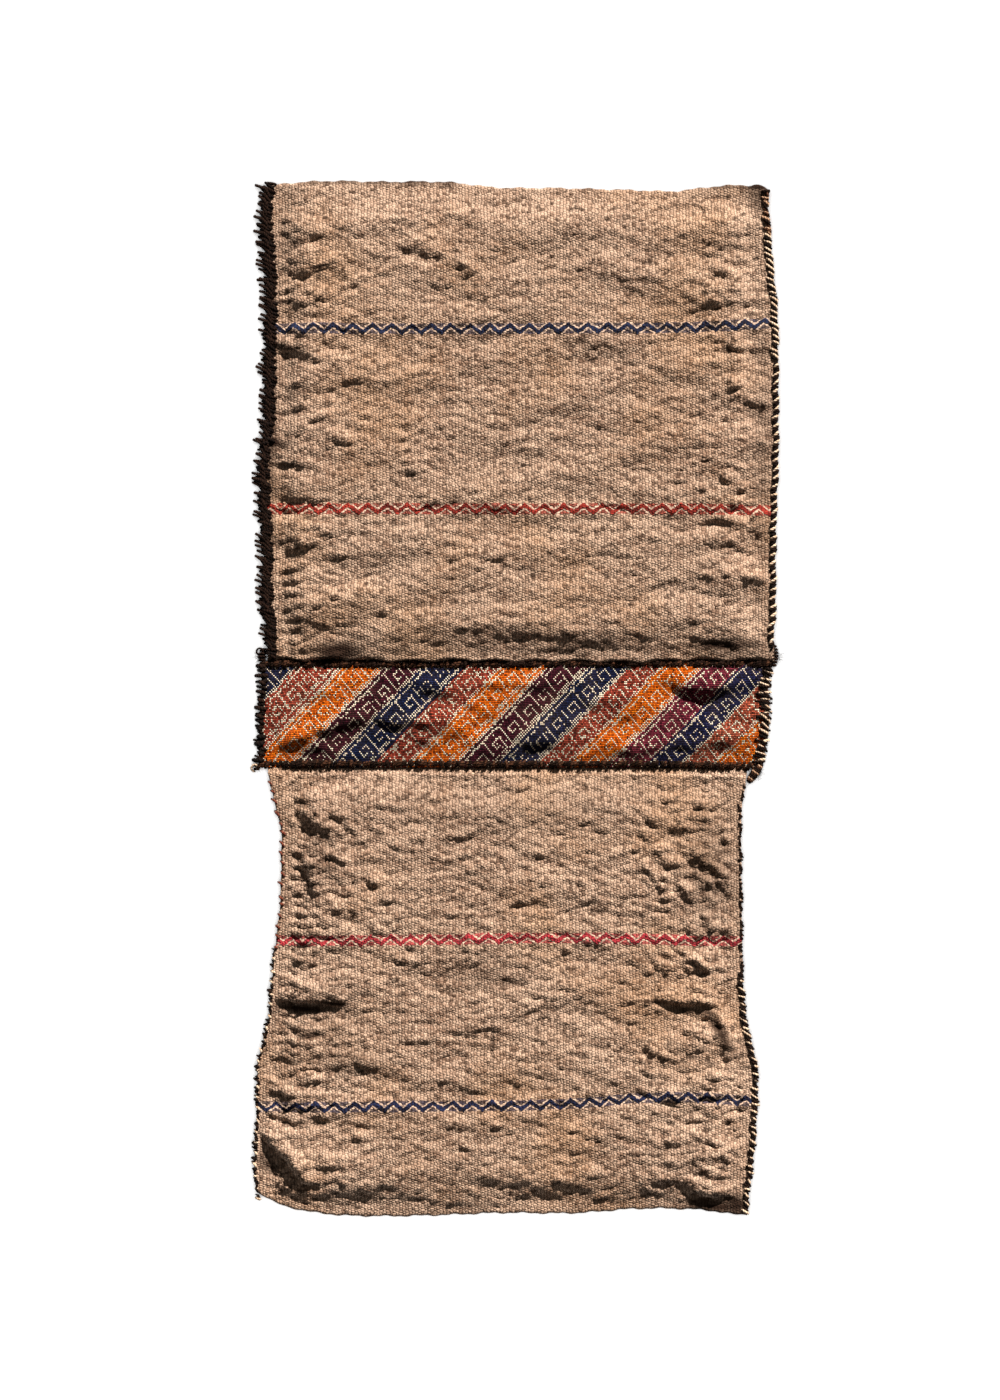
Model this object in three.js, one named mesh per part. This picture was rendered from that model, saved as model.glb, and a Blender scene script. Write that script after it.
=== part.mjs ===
// A kilim saddle bag lying flat: two pouches, each one folded length of plain-woven wool, and between
// them a brocaded bridge panel that goes over the animal's back. Wool yarn holds it together: an
// overcast seam down both sides of each pouch, a seam at each end of the bridge, an overcast binding on
// the bridge's two sides, and a wrapped knot of yarn at each corner of the two mouths.
//
// Frame: X across the bag, Y along it with the upper pouch at +Y, Z up. The origin is the middle of the
// footprint, on the surface that the bag lies on. Millimetres.
import * as THREE from "three";

// ---- driving dimensions ----
const HALF_WIDTH = 251; // from the middle to the outermost yarn, at the corners of the mouths
const HALF_LENGTH = 492.5; // from the middle to the furthest point of each bottom fold

const CLOTH = 2.5; // thickness of the plain-woven pouch cloth
const BRIDGE_CLOTH = 2.8; // thickness of the brocaded bridge cloth
const YARN = 1.8; // thickness of a layer of overcast yarn
const CLEAR = 0.3; // clearance between yarn and cloth

const EDGE_GAP = 0.8; // between the two layers of a pouch where they are sewn or folded
const POUCH_GAP = 13; // between the two layers in the middle of an empty pouch
const MOUTH_GAP = 7.5; // between the two layers at the middle of the mouth
const SIDE_SLOPE = 55; // the front rises to its full height over this distance from a side
const FOLD_SLOPE = 70; // and over this distance from the bottom fold
const MOUTH_SLOPE = 60; // and falls to the mouth over this distance

const OVERCAST_LEG = 9; // how far the yarn reaches in over the cloth, above and below
const EDGE_LIFT = YARN + CLEAR; // the yarn lies under a cloth's edge and lifts it this far
const FLAT_EDGE = OVERCAST_LEG + 1; // the strip along an edge that the yarn covers, which stays level
const LIFT_END = 16; // distance from the edge at which the cloth is down on the surface again

const UPPER_JOIN_Y = 34; // the seam between the upper pouch's back and the bridge
const LOWER_JOIN_Y = -65;
const JOIN_WEB = 1.4; // the yarn of a join seam between the edges of the two cloths
const JOIN_WIDTH = 5; // and the yarn of it that lies over them
const JOIN_THICK = 1;
const JOIN_INSET = 11.5; // a join seam ends this far inside the side edges
const MOUTH_SETBACK = 3; // from the middle of the join seam to the mouth edge of the front

const MATERIALS = {
  plainCloth: new THREE.MeshStandardMaterial({ color: 0xb8957a, roughness: 0.95, metalness: 0 }),
  brocade: new THREE.MeshStandardMaterial({ color: 0xa4552f, roughness: 0.95, metalness: 0 }),
  darkYarn: new THREE.MeshStandardMaterial({ color: 0x2e1f18, roughness: 1, metalness: 0 }),
  pairedYarn: new THREE.MeshStandardMaterial({ color: 0x8b7766, roughness: 1, metalness: 0 }),
};

// ---- small helpers ----

// A function of one number through the given [position, value] points, level beyond the end points.
function through(points, Interpolant = THREE.CubicInterpolant) {
  const sorted = [...points].sort((a, b) => a[0] - b[0]);
  const positions = sorted.map((p) => p[0]);
  const curve = new Interpolant(positions, sorted.map((p) => p[1]), 1);
  const [low, high] = [positions[0], positions[positions.length - 1]];
  return (t) => curve.evaluate(THREE.MathUtils.clamp(t, low, high))[0];
}

const straightThrough = (points) => through(points, THREE.LinearInterpolant);

const ease = (distance, run) => THREE.MathUtils.smoothstep(distance, 0, run);

// A closed solid between two grids of points, [row][column], with rims along all four edges.
// The outer grid's rows and columns turn so that (next column) x (next row) points outwards.
function shellBetween(outer, inner) {
  const rows = outer.length;
  const columns = outer[0].length;
  const positions = [];
  for (const grid of [outer, inner])
    for (const row of grid) for (const p of row) positions.push(p.x, p.y, p.z);
  const at = (layer, row, column) => (layer * rows + row) * columns + column;
  const index = [];
  const quad = (a, b, c, d) => index.push(a, b, c, a, c, d);
  for (let r = 0; r < rows - 1; r++)
    for (let c = 0; c < columns - 1; c++) {
      quad(at(0, r, c), at(0, r, c + 1), at(0, r + 1, c + 1), at(0, r + 1, c));
      quad(at(1, r, c), at(1, r + 1, c), at(1, r + 1, c + 1), at(1, r, c + 1));
    }
  for (let c = 0; c < columns - 1; c++) {
    quad(at(0, 0, c), at(1, 0, c), at(1, 0, c + 1), at(0, 0, c + 1));
    const last = rows - 1;
    quad(at(0, last, c), at(0, last, c + 1), at(1, last, c + 1), at(1, last, c));
  }
  for (let r = 0; r < rows - 1; r++) {
    quad(at(0, r, 0), at(0, r + 1, 0), at(1, r + 1, 0), at(1, r, 0));
    const last = columns - 1;
    quad(at(0, r, last), at(1, r, last), at(1, r + 1, last), at(0, r + 1, last));
  }
  return closedGeometry(positions, index);
}

// A solid whose sections, all with the same number of points, follow one another; the flat outline of a
// section is given as Vector2 points so that the two ends can be closed.
function sweep(sections, outline) {
  const n = outline.length;
  const positions = sections.flatMap((section) => section.flatMap((p) => [p.x, p.y, p.z]));
  const index = [];
  for (let s = 0; s < sections.length - 1; s++)
    for (let k = 0; k < n; k++) {
      const [a, b] = [s * n + k, s * n + ((k + 1) % n)];
      index.push(a, b, b + n, a, b + n, a + n);
    }
  const end = (sections.length - 1) * n;
  for (const [a, b, c] of THREE.ShapeUtils.triangulateShape(outline, [])) {
    index.push(c, b, a);
    index.push(end + a, end + b, end + c);
  }
  return closedGeometry(positions, index);
}

// The geometry of those points and triangles, turned so that its faces point out.
function closedGeometry(positions, index) {
  const corner = (i) => new THREE.Vector3().fromArray(positions, 3 * index[i]);
  let volume = 0;
  for (let i = 0; i < index.length; i += 3)
    volume += corner(i).dot(corner(i + 1).cross(corner(i + 2))) / 6;
  if (volume < 0)
    for (let i = 0; i < index.length; i += 3)
      [index[i + 1], index[i + 2]] = [index[i + 2], index[i + 1]];
  const geometry = new THREE.BufferGeometry();
  geometry.setAttribute("position", new THREE.Float32BufferAttribute(positions, 3));
  geometry.setIndex(index);
  geometry.computeVertexNormals();
  return geometry;
}

function piece(name, geometry, material) {
  const mesh = new THREE.Mesh(geometry, material);
  mesh.name = name;
  return mesh;
}

// ---- outlines ----
// Hand-made cloth is never quite straight, and use has drawn the lower pouch in near its mouth. A
// station is [y, x of the left edge, x of the right edge]; the cloth is straight from one to the next.
// A fold is y at x, a smooth line that begins and ends at the two side edges.
const upperPouch = {
  away: 1, // the way from the bridge to the fold
  joinY: UPPER_JOIN_Y,
  stations: [
    [52, -241.5, 244.5],
    [90, -245, 246],
    [147, -245.5, 246],
    [185, -247, 247],
    [223, -248.9, 248.9],
    [261, -244, 248.9],
    [318, -243, 248.5],
    [375, -242, 247.5],
    [413, -243, 243.5],
    [451, -246, 241],
  ],
  mouth: [-243, 246],
  fold: [
    [-246, 476],
    [-229, 489],
    [-205, 492],
    [-130, HALF_LENGTH],
    [-58, 491.5],
    [-25, 487.5],
    [37, 486.5],
    [113, 484.5],
    [151, 483.5],
    [189, 488],
    [220, 489],
    [237, 480],
  ],
};
const lowerPouch = {
  away: -1,
  joinY: LOWER_JOIN_Y,
  stations: [
    [-84, -232.5, 217.5],
    [-100, -229.5, 215],
    [-118, -224, 214],
    [-156, -223, 214.5],
    [-194, -224, 215],
    [-251, -231, 215.5],
    [-308, -236, 219],
    [-346, -245, 228],
    [-403, -246, 228],
    [-441, -248.5, 225],
  ],
  mouth: [-236, 220],
  fold: [
    [-247, -469],
    [-229, -480.5],
    [-210, -486.5],
    [-180, -491],
    [-130, -HALF_LENGTH],
    [-77, -491.5],
    [-20, -489.5],
    [56, -489.5],
    [113, -485.5],
    [151, -485.5],
    [200, -490.5],
    [219, -480],
  ],
};
const bridgeStations = [
  [28, -242, 242],
  [14, -242, 240],
  [-4, -244, 241],
  [-24, -244, 240],
  [-42, -244.5, 238],
  [-58, -245, 235],
];

// ---- cloth ----
const FOLD_RADIUS = (2 * CLOTH + EDGE_GAP) / 2;

// The x positions of a row of points from one side edge to the other, each with its distance from the
// nearer edge: close together near the edges, where the height of the cloth changes.
function acrossCloth(left, right) {
  const margin = [0, FLAT_EDGE, LIFT_END, 30, 46, FLAT_EDGE + SIDE_SLOPE];
  const middleSteps = 6;
  const from = left + margin[margin.length - 1];
  const to = right - margin[margin.length - 1];
  const middle = [];
  for (let k = 1; k < middleSteps; k++) middle.push(THREE.MathUtils.lerp(from, to, k / middleSteps));
  const xs = [...margin.map((d) => left + d), ...middle, ...margin.map((d) => right - d).reverse()];
  return xs.map((x) => ({ x, fromEdge: Math.min(x - left, right - x) }));
}

const edgeLift = (fromEdge) => EDGE_LIFT * (1 - ease(fromEdge - FLAT_EDGE, LIFT_END - FLAT_EDGE));

// The height of the space between the two layers of a pouch.
function pouchGap(fromEdge, fromFold, fromMouth) {
  const middle = THREE.MathUtils.lerp(MOUTH_GAP, POUCH_GAP, ease(fromMouth, MOUTH_SLOPE));
  const share = ease(fromEdge - FLAT_EDGE, SIDE_SLOPE) * ease(fromFold, FOLD_SLOPE);
  return THREE.MathUtils.lerp(EDGE_GAP, middle, share);
}

// The line along which a pouch's cloth begins to turn over, as y at x.
function turnLine(pouch) {
  const fold = through(pouch.fold);
  return (x) => fold(x) - pouch.away * FOLD_RADIUS;
}

// The two x positions at which the fold meets the side edges.
const foldEnds = (pouch) => [pouch.fold[0][0], pouch.fold[pouch.fold.length - 1][0]];

const mouthEdgeY = (pouch) => pouch.joinY + pouch.away * MOUTH_SETBACK;

// A pouch's side edge, 0 for the left and 1 for the right, from its mouth to its fold, as x at y.
function pouchEdge(pouch, side) {
  const foldX = foldEnds(pouch)[side];
  return straightThrough([
    [mouthEdgeY(pouch), pouch.mouth[side]],
    ...pouch.stations.map((station) => [station[0], station[1 + side]]),
    [turnLine(pouch)(foldX), foldX],
  ]);
}

// One pouch: a length of cloth that runs from the join seam along the surface, turns over in a tight
// fold and comes back above itself to the mouth.
function pouchCloth(name, pouch) {
  const foldSteps = 6;
  const turn = turnLine(pouch);
  const mouthY = mouthEdgeY(pouch);
  const outer = [];
  const inner = [];
  // Adds the two faces of the cloth along one row.
  const addRow = (left, right, facesAt) => {
    const faces = acrossCloth(left, right).map(facesAt);
    outer.push(faces.map((f) => f.outer));
    inner.push(faces.map((f) => f.inner));
  };
  const back = (y) => ({ x, fromEdge }) => {
    const z = edgeLift(fromEdge);
    return { outer: new THREE.Vector3(x, y(x), z), inner: new THREE.Vector3(x, y(x), z + CLOTH) };
  };
  const front = (y) => ({ x, fromEdge }) => {
    const gap = pouchGap(fromEdge, Math.abs(turn(x) - y(x)), Math.abs(y(x) - mouthY));
    const z = edgeLift(fromEdge) + CLOTH + gap;
    return { outer: new THREE.Vector3(x, y(x), z + CLOTH), inner: new THREE.Vector3(x, y(x), z) };
  };

  const backStart = pouch.joinY + pouch.away * (JOIN_WEB / 2 + CLEAR);
  addRow(...pouch.mouth, back(() => backStart));
  for (const [y, left, right] of pouch.stations) addRow(left, right, back(() => y));
  for (let s = 0; s <= foldSteps; s++) {
    const angle = (Math.PI * s) / foldSteps;
    const onArc = (x, fromEdge, radius) => {
      const y = turn(x) + pouch.away * radius * Math.sin(angle);
      const z = edgeLift(fromEdge) + FOLD_RADIUS - radius * Math.cos(angle);
      return new THREE.Vector3(x, y, z);
    };
    addRow(...foldEnds(pouch), ({ x, fromEdge }) => ({
      outer: onArc(x, fromEdge, FOLD_RADIUS),
      inner: onArc(x, fromEdge, FOLD_RADIUS - CLOTH),
    }));
  }
  for (const [y, left, right] of [...pouch.stations].reverse()) addRow(left, right, front(() => y));
  addRow(...pouch.mouth, front(() => mouthY));
  return piece(name, shellBetween(outer, inner), MATERIALS.plainCloth);
}

// The bridge's side edge, 0 for the left and 1 for the right, as x at y.
const bridgeEdge = (side) => straightThrough(bridgeStations.map((s) => [s[0], s[1 + side]]));

// The bridge: one layer of cloth between the two join seams.
function bridgePanel() {
  const half = JOIN_WEB / 2 + CLEAR;
  const [first, last] = [bridgeStations[0], bridgeStations[bridgeStations.length - 1]];
  const rows = [
    [UPPER_JOIN_Y - half, first[1], first[2]],
    ...bridgeStations,
    [LOWER_JOIN_Y + half, last[1], last[2]],
  ];
  const face = (height) =>
    rows.map(([y, left, right]) =>
      acrossCloth(left, right).map(
        ({ x, fromEdge }) => new THREE.Vector3(x, y, edgeLift(fromEdge) + height),
      ),
    );
  return piece("bridge_panel", shellBetween(face(BRIDGE_CLOTH), face(0)), MATERIALS.brocade);
}

// ---- yarn ----

// A layer of overcast yarn round a cloth's side edge: over it, down outside it and under it.
// edge gives the cloth's edge as x at y, inward is the way from it onto the cloth, and stack is the
// thickness of what the yarn holds. A section stands at each station, so yarn and cloth run together.
function overcast(name, edge, inward, [fromY, toY], stations, stack, material) {
  const outside = -(CLEAR + YARN);
  const top = stack + 2 * (CLEAR + YARN);
  const outline = [
    [outside, 0],
    [OVERCAST_LEG, 0],
    [OVERCAST_LEG, YARN],
    [-CLEAR, YARN],
    [-CLEAR, top - YARN],
    [OVERCAST_LEG, top - YARN],
    [OVERCAST_LEG, top],
    [outside, top],
  ].map(([d, z]) => new THREE.Vector2(d, z));
  const between = stations.map((s) => s[0]).filter((y) => (y - fromY) * (y - toY) < 0);
  const sections = [fromY, ...between, toY].map((y) =>
    outline.map((p) => new THREE.Vector3(edge(y) + inward * p.x, y, p.y)),
  );
  return piece(name, sweep(sections, outline), material);
}

// The seam between a pouch's back and the bridge: yarn between the two edges and over both. It rises
// at its ends with the cloths, which lie on the yarn of the side seams there.
function joinSeam(name, y, left, right) {
  const bottom = CLEAR;
  const top = BRIDGE_CLOTH + CLEAR;
  const [web, flange] = [JOIN_WEB / 2, JOIN_WIDTH / 2];
  const outline = [
    [-web, bottom],
    [web, bottom],
    [web, top],
    [flange, top],
    [flange, top + JOIN_THICK],
    [-flange, top + JOIN_THICK],
    [-flange, top],
    [-web, top],
  ].map(([d, z]) => new THREE.Vector2(d, z));
  const fromEdge = [JOIN_INSET, LIFT_END, 30];
  const xs = [...fromEdge.map((d) => left + d), ...fromEdge.map((d) => right - d).reverse()];
  const sections = xs.map((x) => {
    const lift = edgeLift(Math.min(x - left, right - x));
    return outline.map((p) => new THREE.Vector3(x, y + p.x, p.y + lift));
  });
  return piece(name, sweep(sections, outline), MATERIALS.darkYarn);
}

// A knot of yarn wrapped round the end of a side seam, just outside the corner of a mouth. tilt turns
// its length away from Y.
function cornerWrap(name, { x, y, halfAcross, halfLength, tilt = 0 }) {
  const halfHigh = 3.6;
  const mesh = piece(name, new THREE.SphereGeometry(1, 14, 10), MATERIALS.darkYarn);
  mesh.scale.set(halfAcross, halfLength, halfHigh);
  mesh.rotation.z = tilt;
  mesh.position.set(x, y, halfHigh + 0.4);
  return mesh;
}

// ---- the bag ----
const bag = new THREE.Group();
bag.name = "kilim_saddle_bag";

bag.add(pouchCloth("upper_pouch_cloth", upperPouch));
bag.add(pouchCloth("lower_pouch_cloth", lowerPouch));
bag.add(bridgePanel());

bag.add(joinSeam("upper_join_seam", UPPER_JOIN_Y, -242, 242));
bag.add(joinSeam("lower_join_seam", LOWER_JOIN_Y, ...lowerPouch.mouth));

// The yarn down the sides of a pouch runs from beyond the wrapped knot at the mouth nearly to the fold.
const SEAM_START = 14;
const SEAM_END = 8;
for (const [which, pouch] of [["upper", upperPouch], ["lower", lowerPouch]])
  for (const [side, hand, inward, material] of [
    [0, "left", 1, MATERIALS.darkYarn],
    [1, "right", -1, MATERIALS.pairedYarn],
  ]) {
    const ends = [
      mouthEdgeY(pouch) + pouch.away * SEAM_START,
      turnLine(pouch)(foldEnds(pouch)[side]) - pouch.away * SEAM_END,
    ];
    const edge = pouchEdge(pouch, side);
    const stack = 2 * CLOTH + EDGE_GAP;
    bag.add(overcast(`${which}_${hand}_side_seam`, edge, inward, ends, pouch.stations, stack, material));
  }

const bindingEnds = [UPPER_JOIN_Y - 6, LOWER_JOIN_Y + 7];
for (const [side, hand, inward, material] of [
  [0, "left", 1, MATERIALS.darkYarn],
  [1, "right", -1, MATERIALS.pairedYarn],
])
  bag.add(
    overcast(
      `bridge_${hand}_binding`,
      bridgeEdge(side),
      inward,
      bindingEnds,
      bridgeStations,
      BRIDGE_CLOTH,
      material,
    ),
  );

bag.add(cornerWrap("upper_left_corner_wrap", { x: -247.2, y: 39.5, halfAcross: 3.8, halfLength: 7 }));
bag.add(cornerWrap("upper_right_corner_wrap", { x: 248.8, y: 39.5, halfAcross: 2.2, halfLength: 7 }));
bag.add(cornerWrap("lower_left_corner_wrap", { x: -248.2, y: -64, halfAcross: 2.8, halfLength: 5 }));
bag.add(
  cornerWrap("lower_right_corner_wrap", { x: 228.5, y: -74.5, halfAcross: 4, halfLength: 11, tilt: -0.6 }),
);

export default bag;
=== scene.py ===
"""The looks of a woven wool saddle bag that lies flat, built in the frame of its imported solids.

Lengths inside the classes are in millimetres, on the frame's axes: X across the bag, Y along it
towards the upper pouch, Z up. They are turned to metres where a mesh is made.
"""
import logging
import math
from dataclasses import dataclass, field
from enum import Enum
from typing import Callable, Sequence

import bpy
import numpy as np
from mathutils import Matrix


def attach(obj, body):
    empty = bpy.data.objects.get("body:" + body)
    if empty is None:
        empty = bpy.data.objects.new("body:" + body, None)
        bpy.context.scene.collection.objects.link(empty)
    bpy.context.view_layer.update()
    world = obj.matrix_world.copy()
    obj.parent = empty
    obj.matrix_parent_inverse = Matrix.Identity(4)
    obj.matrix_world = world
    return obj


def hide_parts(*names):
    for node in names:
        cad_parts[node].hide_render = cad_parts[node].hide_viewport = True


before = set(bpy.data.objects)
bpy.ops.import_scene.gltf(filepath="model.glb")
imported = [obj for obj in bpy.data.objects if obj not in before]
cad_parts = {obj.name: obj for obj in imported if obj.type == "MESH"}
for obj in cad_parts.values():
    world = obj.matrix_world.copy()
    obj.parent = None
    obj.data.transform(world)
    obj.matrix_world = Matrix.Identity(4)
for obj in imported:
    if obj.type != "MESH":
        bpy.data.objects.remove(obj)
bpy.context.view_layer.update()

log = logging.getLogger("saddle_bag")

MM = 0.001
CLOTH_MAP = "cloth"  # the UV map of every cloth: x and y along the threads, in metres
YARN_MAP = "yarn"  # the UV map of every yarn: once around it, and metres along it
DYE = "dye"  # the face attribute that holds the colour of one weaving step

Array = np.ndarray
Curve = Callable[[Array], Array]


# ---------------------------------------------------------------------------------------------
# numbers and curves
# ---------------------------------------------------------------------------------------------
def linear(hex_colour: str) -> tuple[float, float, float, float]:
    """Turns an sRGB hex colour into the linear colour that a shader takes.

    Args:
        hex_colour: six hex digits after a hash sign.

    Returns:
        Red, green and blue from 0 to 1, and an alpha of 1.
    """
    parts = [int(hex_colour[i : i + 2], 16) / 255 for i in (1, 3, 5)]
    turned = [c / 12.92 if c <= 0.04045 else ((c + 0.055) / 1.055) ** 2.4 for c in parts]
    return (turned[0], turned[1], turned[2], 1.0)


def ease(value: Array, low: float, high: float) -> Array:
    """Goes from 0 at low to 1 at high as 3t^2 - 2t^3, and stays level outside."""
    t = np.clip((value - low) / (high - low), 0, 1)
    return t * t * (3 - 2 * t)


def wobble(along: Array) -> Array:
    """Gives the small waver of a woven edge, a sum of two sines of 33 and 13 mm."""
    return 0.55 * np.sin(along / 5.3 + 1.0) + 0.4 * np.sin(along / 2.1)


def curve_through(points: Sequence[tuple[float, float]]) -> Curve:
    """Makes a smooth curve through points: a cubic on each span, with the slopes of its neighbours.

    Args:
        points: (position, value) pairs, in any order.

    Returns:
        A function from positions to values, level beyond both ends.
    """
    xs, ys = np.array(sorted(points), float).T
    slopes = np.gradient(ys, xs)

    def at(position: Array) -> Array:
        """Gives the curve's value at each position.

        Args:
            position: where the curve is read.

        Returns:
            The values.
        """
        x = np.clip(position, xs[0], xs[-1])
        i = np.clip(np.searchsorted(xs, x) - 1, 0, len(xs) - 2)
        span = xs[i + 1] - xs[i]
        t = (x - xs[i]) / span
        return (
            ys[i] * (1 + 2 * t) * (1 - t) ** 2
            + ys[i + 1] * t * t * (3 - 2 * t)
            + span * (slopes[i] * t * (1 - t) ** 2 - slopes[i + 1] * t * t * (1 - t))
        )

    return at


@dataclass(frozen=True)
class Ripple:
    """Small uneven ripples: many faint waves of about one size, added up.

    Each wave is cos(ax + by + phase), with a and b drawn around the two wavelengths.
    """

    across: float  # wavelength along X
    along: float  # wavelength along Y
    height: float  # of a usual crest
    seed: int
    waves: int = 90
    steepen: float = 0.0  # shifts crests towards -Y by this many times their own height

    def at(self, x: Array, y: Array) -> Array:
        """Gives the height of the ripples at each point.

        Args:
            x: places across the bag.
            y: places along it.

        Returns:
            The heights.
        """
        raw = self._sum(x, y)
        if self.steepen:
            raw = self._sum(x, y + self.steepen * raw)
        return raw

    def _sum(self, x: Array, y: Array) -> Array:
        """Adds up the waves.

        Args:
            x: places across the bag.
            y: places along it.

        Returns:
            The heights, before any steepening.
        """
        rng = np.random.default_rng(self.seed)
        total = np.zeros(np.broadcast(x, y).shape)
        for _ in range(self.waves):
            angle = rng.normal(0, 0.55)
            size = rng.uniform(0.7, 1.4)
            a = 2 * math.pi / (self.across * size) * rng.uniform(-1, 1) * 1.2
            b = 2 * math.pi / (self.along * size) * math.cos(angle)
            total += np.cos(a * x + b * y + rng.uniform(0, 2 * math.pi))
        return total * self.height * 1.5 / math.sqrt(self.waves)


@dataclass(frozen=True)
class Fold:
    """A fold: a crest along a line, which falls gently on one side and sharply on the other.

    Height over the line's length is a sine arch. Across it, it is exp(-(d/run)^2), with one run on each
    side, less a shallow trough beyond the sharp side, which is on the right hand from start to end.
    """

    start: tuple[float, float]
    end: tuple[float, float]
    rise: float = 3.0
    gentle: float = 9.0
    sharp: float = 3.0
    bow: float = 0.0  # how far the middle of the line stands out to the sharp side

    def at(self, x: Array, y: Array) -> Array:
        """Gives the height that the fold adds at each point.

        Args:
            x: places across the bag.
            y: places along it.

        Returns:
            The heights.
        """
        (x0, y0), (x1, y1) = self.start, self.end
        length = math.hypot(x1 - x0, y1 - y0)
        ax, ay = (x1 - x0) / length, (y1 - y0) / length
        run = ((x - x0) * ax + (y - y0) * ay) / length
        inside = np.clip(run, 0, 1)
        arch = np.sin(math.pi * inside)
        side = (x - x0) * ay - (y - y0) * ax - self.bow * arch
        taper = arch**0.5 * np.exp(-(((run - inside) * length / self.gentle) ** 2))
        gentle = np.exp(-((side / self.gentle) ** 2))
        sharp = np.exp(-((side / self.sharp) ** 2))
        trough = 0.3 * np.exp(-(((side - 2.6 * self.sharp) / (1.6 * self.sharp)) ** 2))
        return self.rise * taper * np.where(side < 0, gentle, sharp - trough * (side > 0))


@dataclass(frozen=True)
class Puckers:
    """A field of small folds, scattered over a rectangle, that lie mostly one way."""

    low: tuple[float, float]
    high: tuple[float, float]
    count: int
    turn: float  # usual angle of a crest, in degrees from X towards Y
    length: tuple[float, float]
    rise: tuple[float, float]
    seed: int

    def folds(self) -> list[Fold]:
        """Scatters the folds.

        Returns:
            The folds.
        """
        rng = np.random.default_rng(self.seed)
        made = []
        for _ in range(self.count):
            x, y = rng.uniform(self.low, self.high)
            angle = math.radians(self.turn + rng.normal(0, 17))
            half = rng.uniform(*self.length) / 2
            dx, dy = half * math.cos(angle), half * math.sin(angle)
            size = rng.uniform(0.75, 1.3)
            rise = rng.uniform(*self.rise)
            bow = rng.normal(0, 2.2)
            made.append(Fold((x - dx, y - dy), (x + dx, y + dy), rise, 4.6 * size, 1.9 * size, bow))
        return made


# ---------------------------------------------------------------------------------------------
# meshes
# ---------------------------------------------------------------------------------------------
def object_from(
    name: str, points: Array, faces: list[Array], uv: Array, uv_name: str
) -> bpy.types.Object:
    """Makes an object from points in millimetres and faces, smooth and turned outwards.

    Args:
        name: the object's name.
        points: (n, 3) positions.
        faces: arrays of corner numbers, one array for each number of corners.
        uv: (n, 2) map positions of the points, in metres.
        uv_name: the name of that map.

    Returns:
        The object, in the scene.
    """
    triangles = np.concatenate(
        [np.stack([f[:, 0], f[:, k], f[:, k + 1]], 1) for f in faces for k in range(1, f.shape[1] - 1)]
    )
    a, b, c = (points[triangles[:, k]] for k in range(3))
    if np.einsum("ij,ij->i", a, np.cross(b, c)).sum() < 0:
        faces = [f[:, ::-1] for f in faces]
    mesh = bpy.data.meshes.new(name)
    mesh.from_pydata((points * MM).tolist(), [], [face for f in faces for face in f.tolist()])
    mesh.polygons.foreach_set("use_smooth", np.ones(len(mesh.polygons), bool))
    corners = np.concatenate([f.ravel() for f in faces])
    layer = mesh.uv_layers.new(name=uv_name)
    layer.data.foreach_set("uv", uv[corners].astype(np.float32).ravel())
    mesh.update()
    made = bpy.data.objects.new(name, mesh)
    bpy.context.scene.collection.objects.link(made)
    return made


def grid_faces(rows: int, columns: int, first: int = 0) -> Array:
    """Gives the four corners of every cell of a grid whose points are numbered row by row.

    Args:
        rows: of points.
        columns: of points.
        first: the number of the first point.

    Returns:
        (cells, 4) corner numbers.
    """
    r, c = np.meshgrid(np.arange(rows - 1), np.arange(columns - 1), indexing="ij")
    a = first + r * columns + c
    return np.stack([a, a + 1, a + columns + 1, a + columns], -1).reshape(-1, 4)


def unit(vectors: Array) -> Array:
    """Scales vectors to a length of 1."""
    return vectors / np.maximum(np.linalg.norm(vectors, axis=-1, keepdims=True), 1e-9)


def sheet_normals(middle: Array) -> Array:
    """Gives the way out of a grid surface: at each point, the row step crossed with the column step."""
    rows, columns = np.gradient(middle, axis=0), np.gradient(middle, axis=1)
    return unit(np.cross(rows, columns))


def cloth_object(name: str, middle: Array, uv: Array, thickness: float | Array) -> bpy.types.Object:
    """Makes a closed cloth: a grid surface moved half its thickness each way, and rims around it.

    Args:
        name: the object's name.
        middle: (rows, columns, 3) positions of the cloth's middle surface.
        uv: (rows, columns, 2) thread positions, in metres.
        thickness: of the cloth, everywhere or at each point.

    Returns:
        The object. The faces of its first side come first, row by row, then those of its second.
    """
    rows, columns = middle.shape[:2]
    out = sheet_normals(middle) * np.asarray(thickness)[..., None] / 2
    points = np.concatenate([(middle + out).reshape(-1, 3), (middle - out).reshape(-1, 3)])
    half = rows * columns
    first = grid_faces(rows, columns)
    second = grid_faces(rows, columns, half)[:, ::-1]
    border = np.concatenate(
        [
            np.arange(columns),
            np.arange(2, rows) * columns - 1,
            [half - 1],
            np.arange(half - 2, half - columns - 1, -1),
            np.arange(rows - 2, 0, -1) * columns,
        ]
    )
    after = np.roll(border, -1)
    rim = np.stack([border + half, after + half, after, border], 1)
    faces = np.concatenate([first, second, rim])
    return object_from(name, points, [faces], np.tile(uv.reshape(-1, 2), (2, 1)), CLOTH_MAP)


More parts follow.
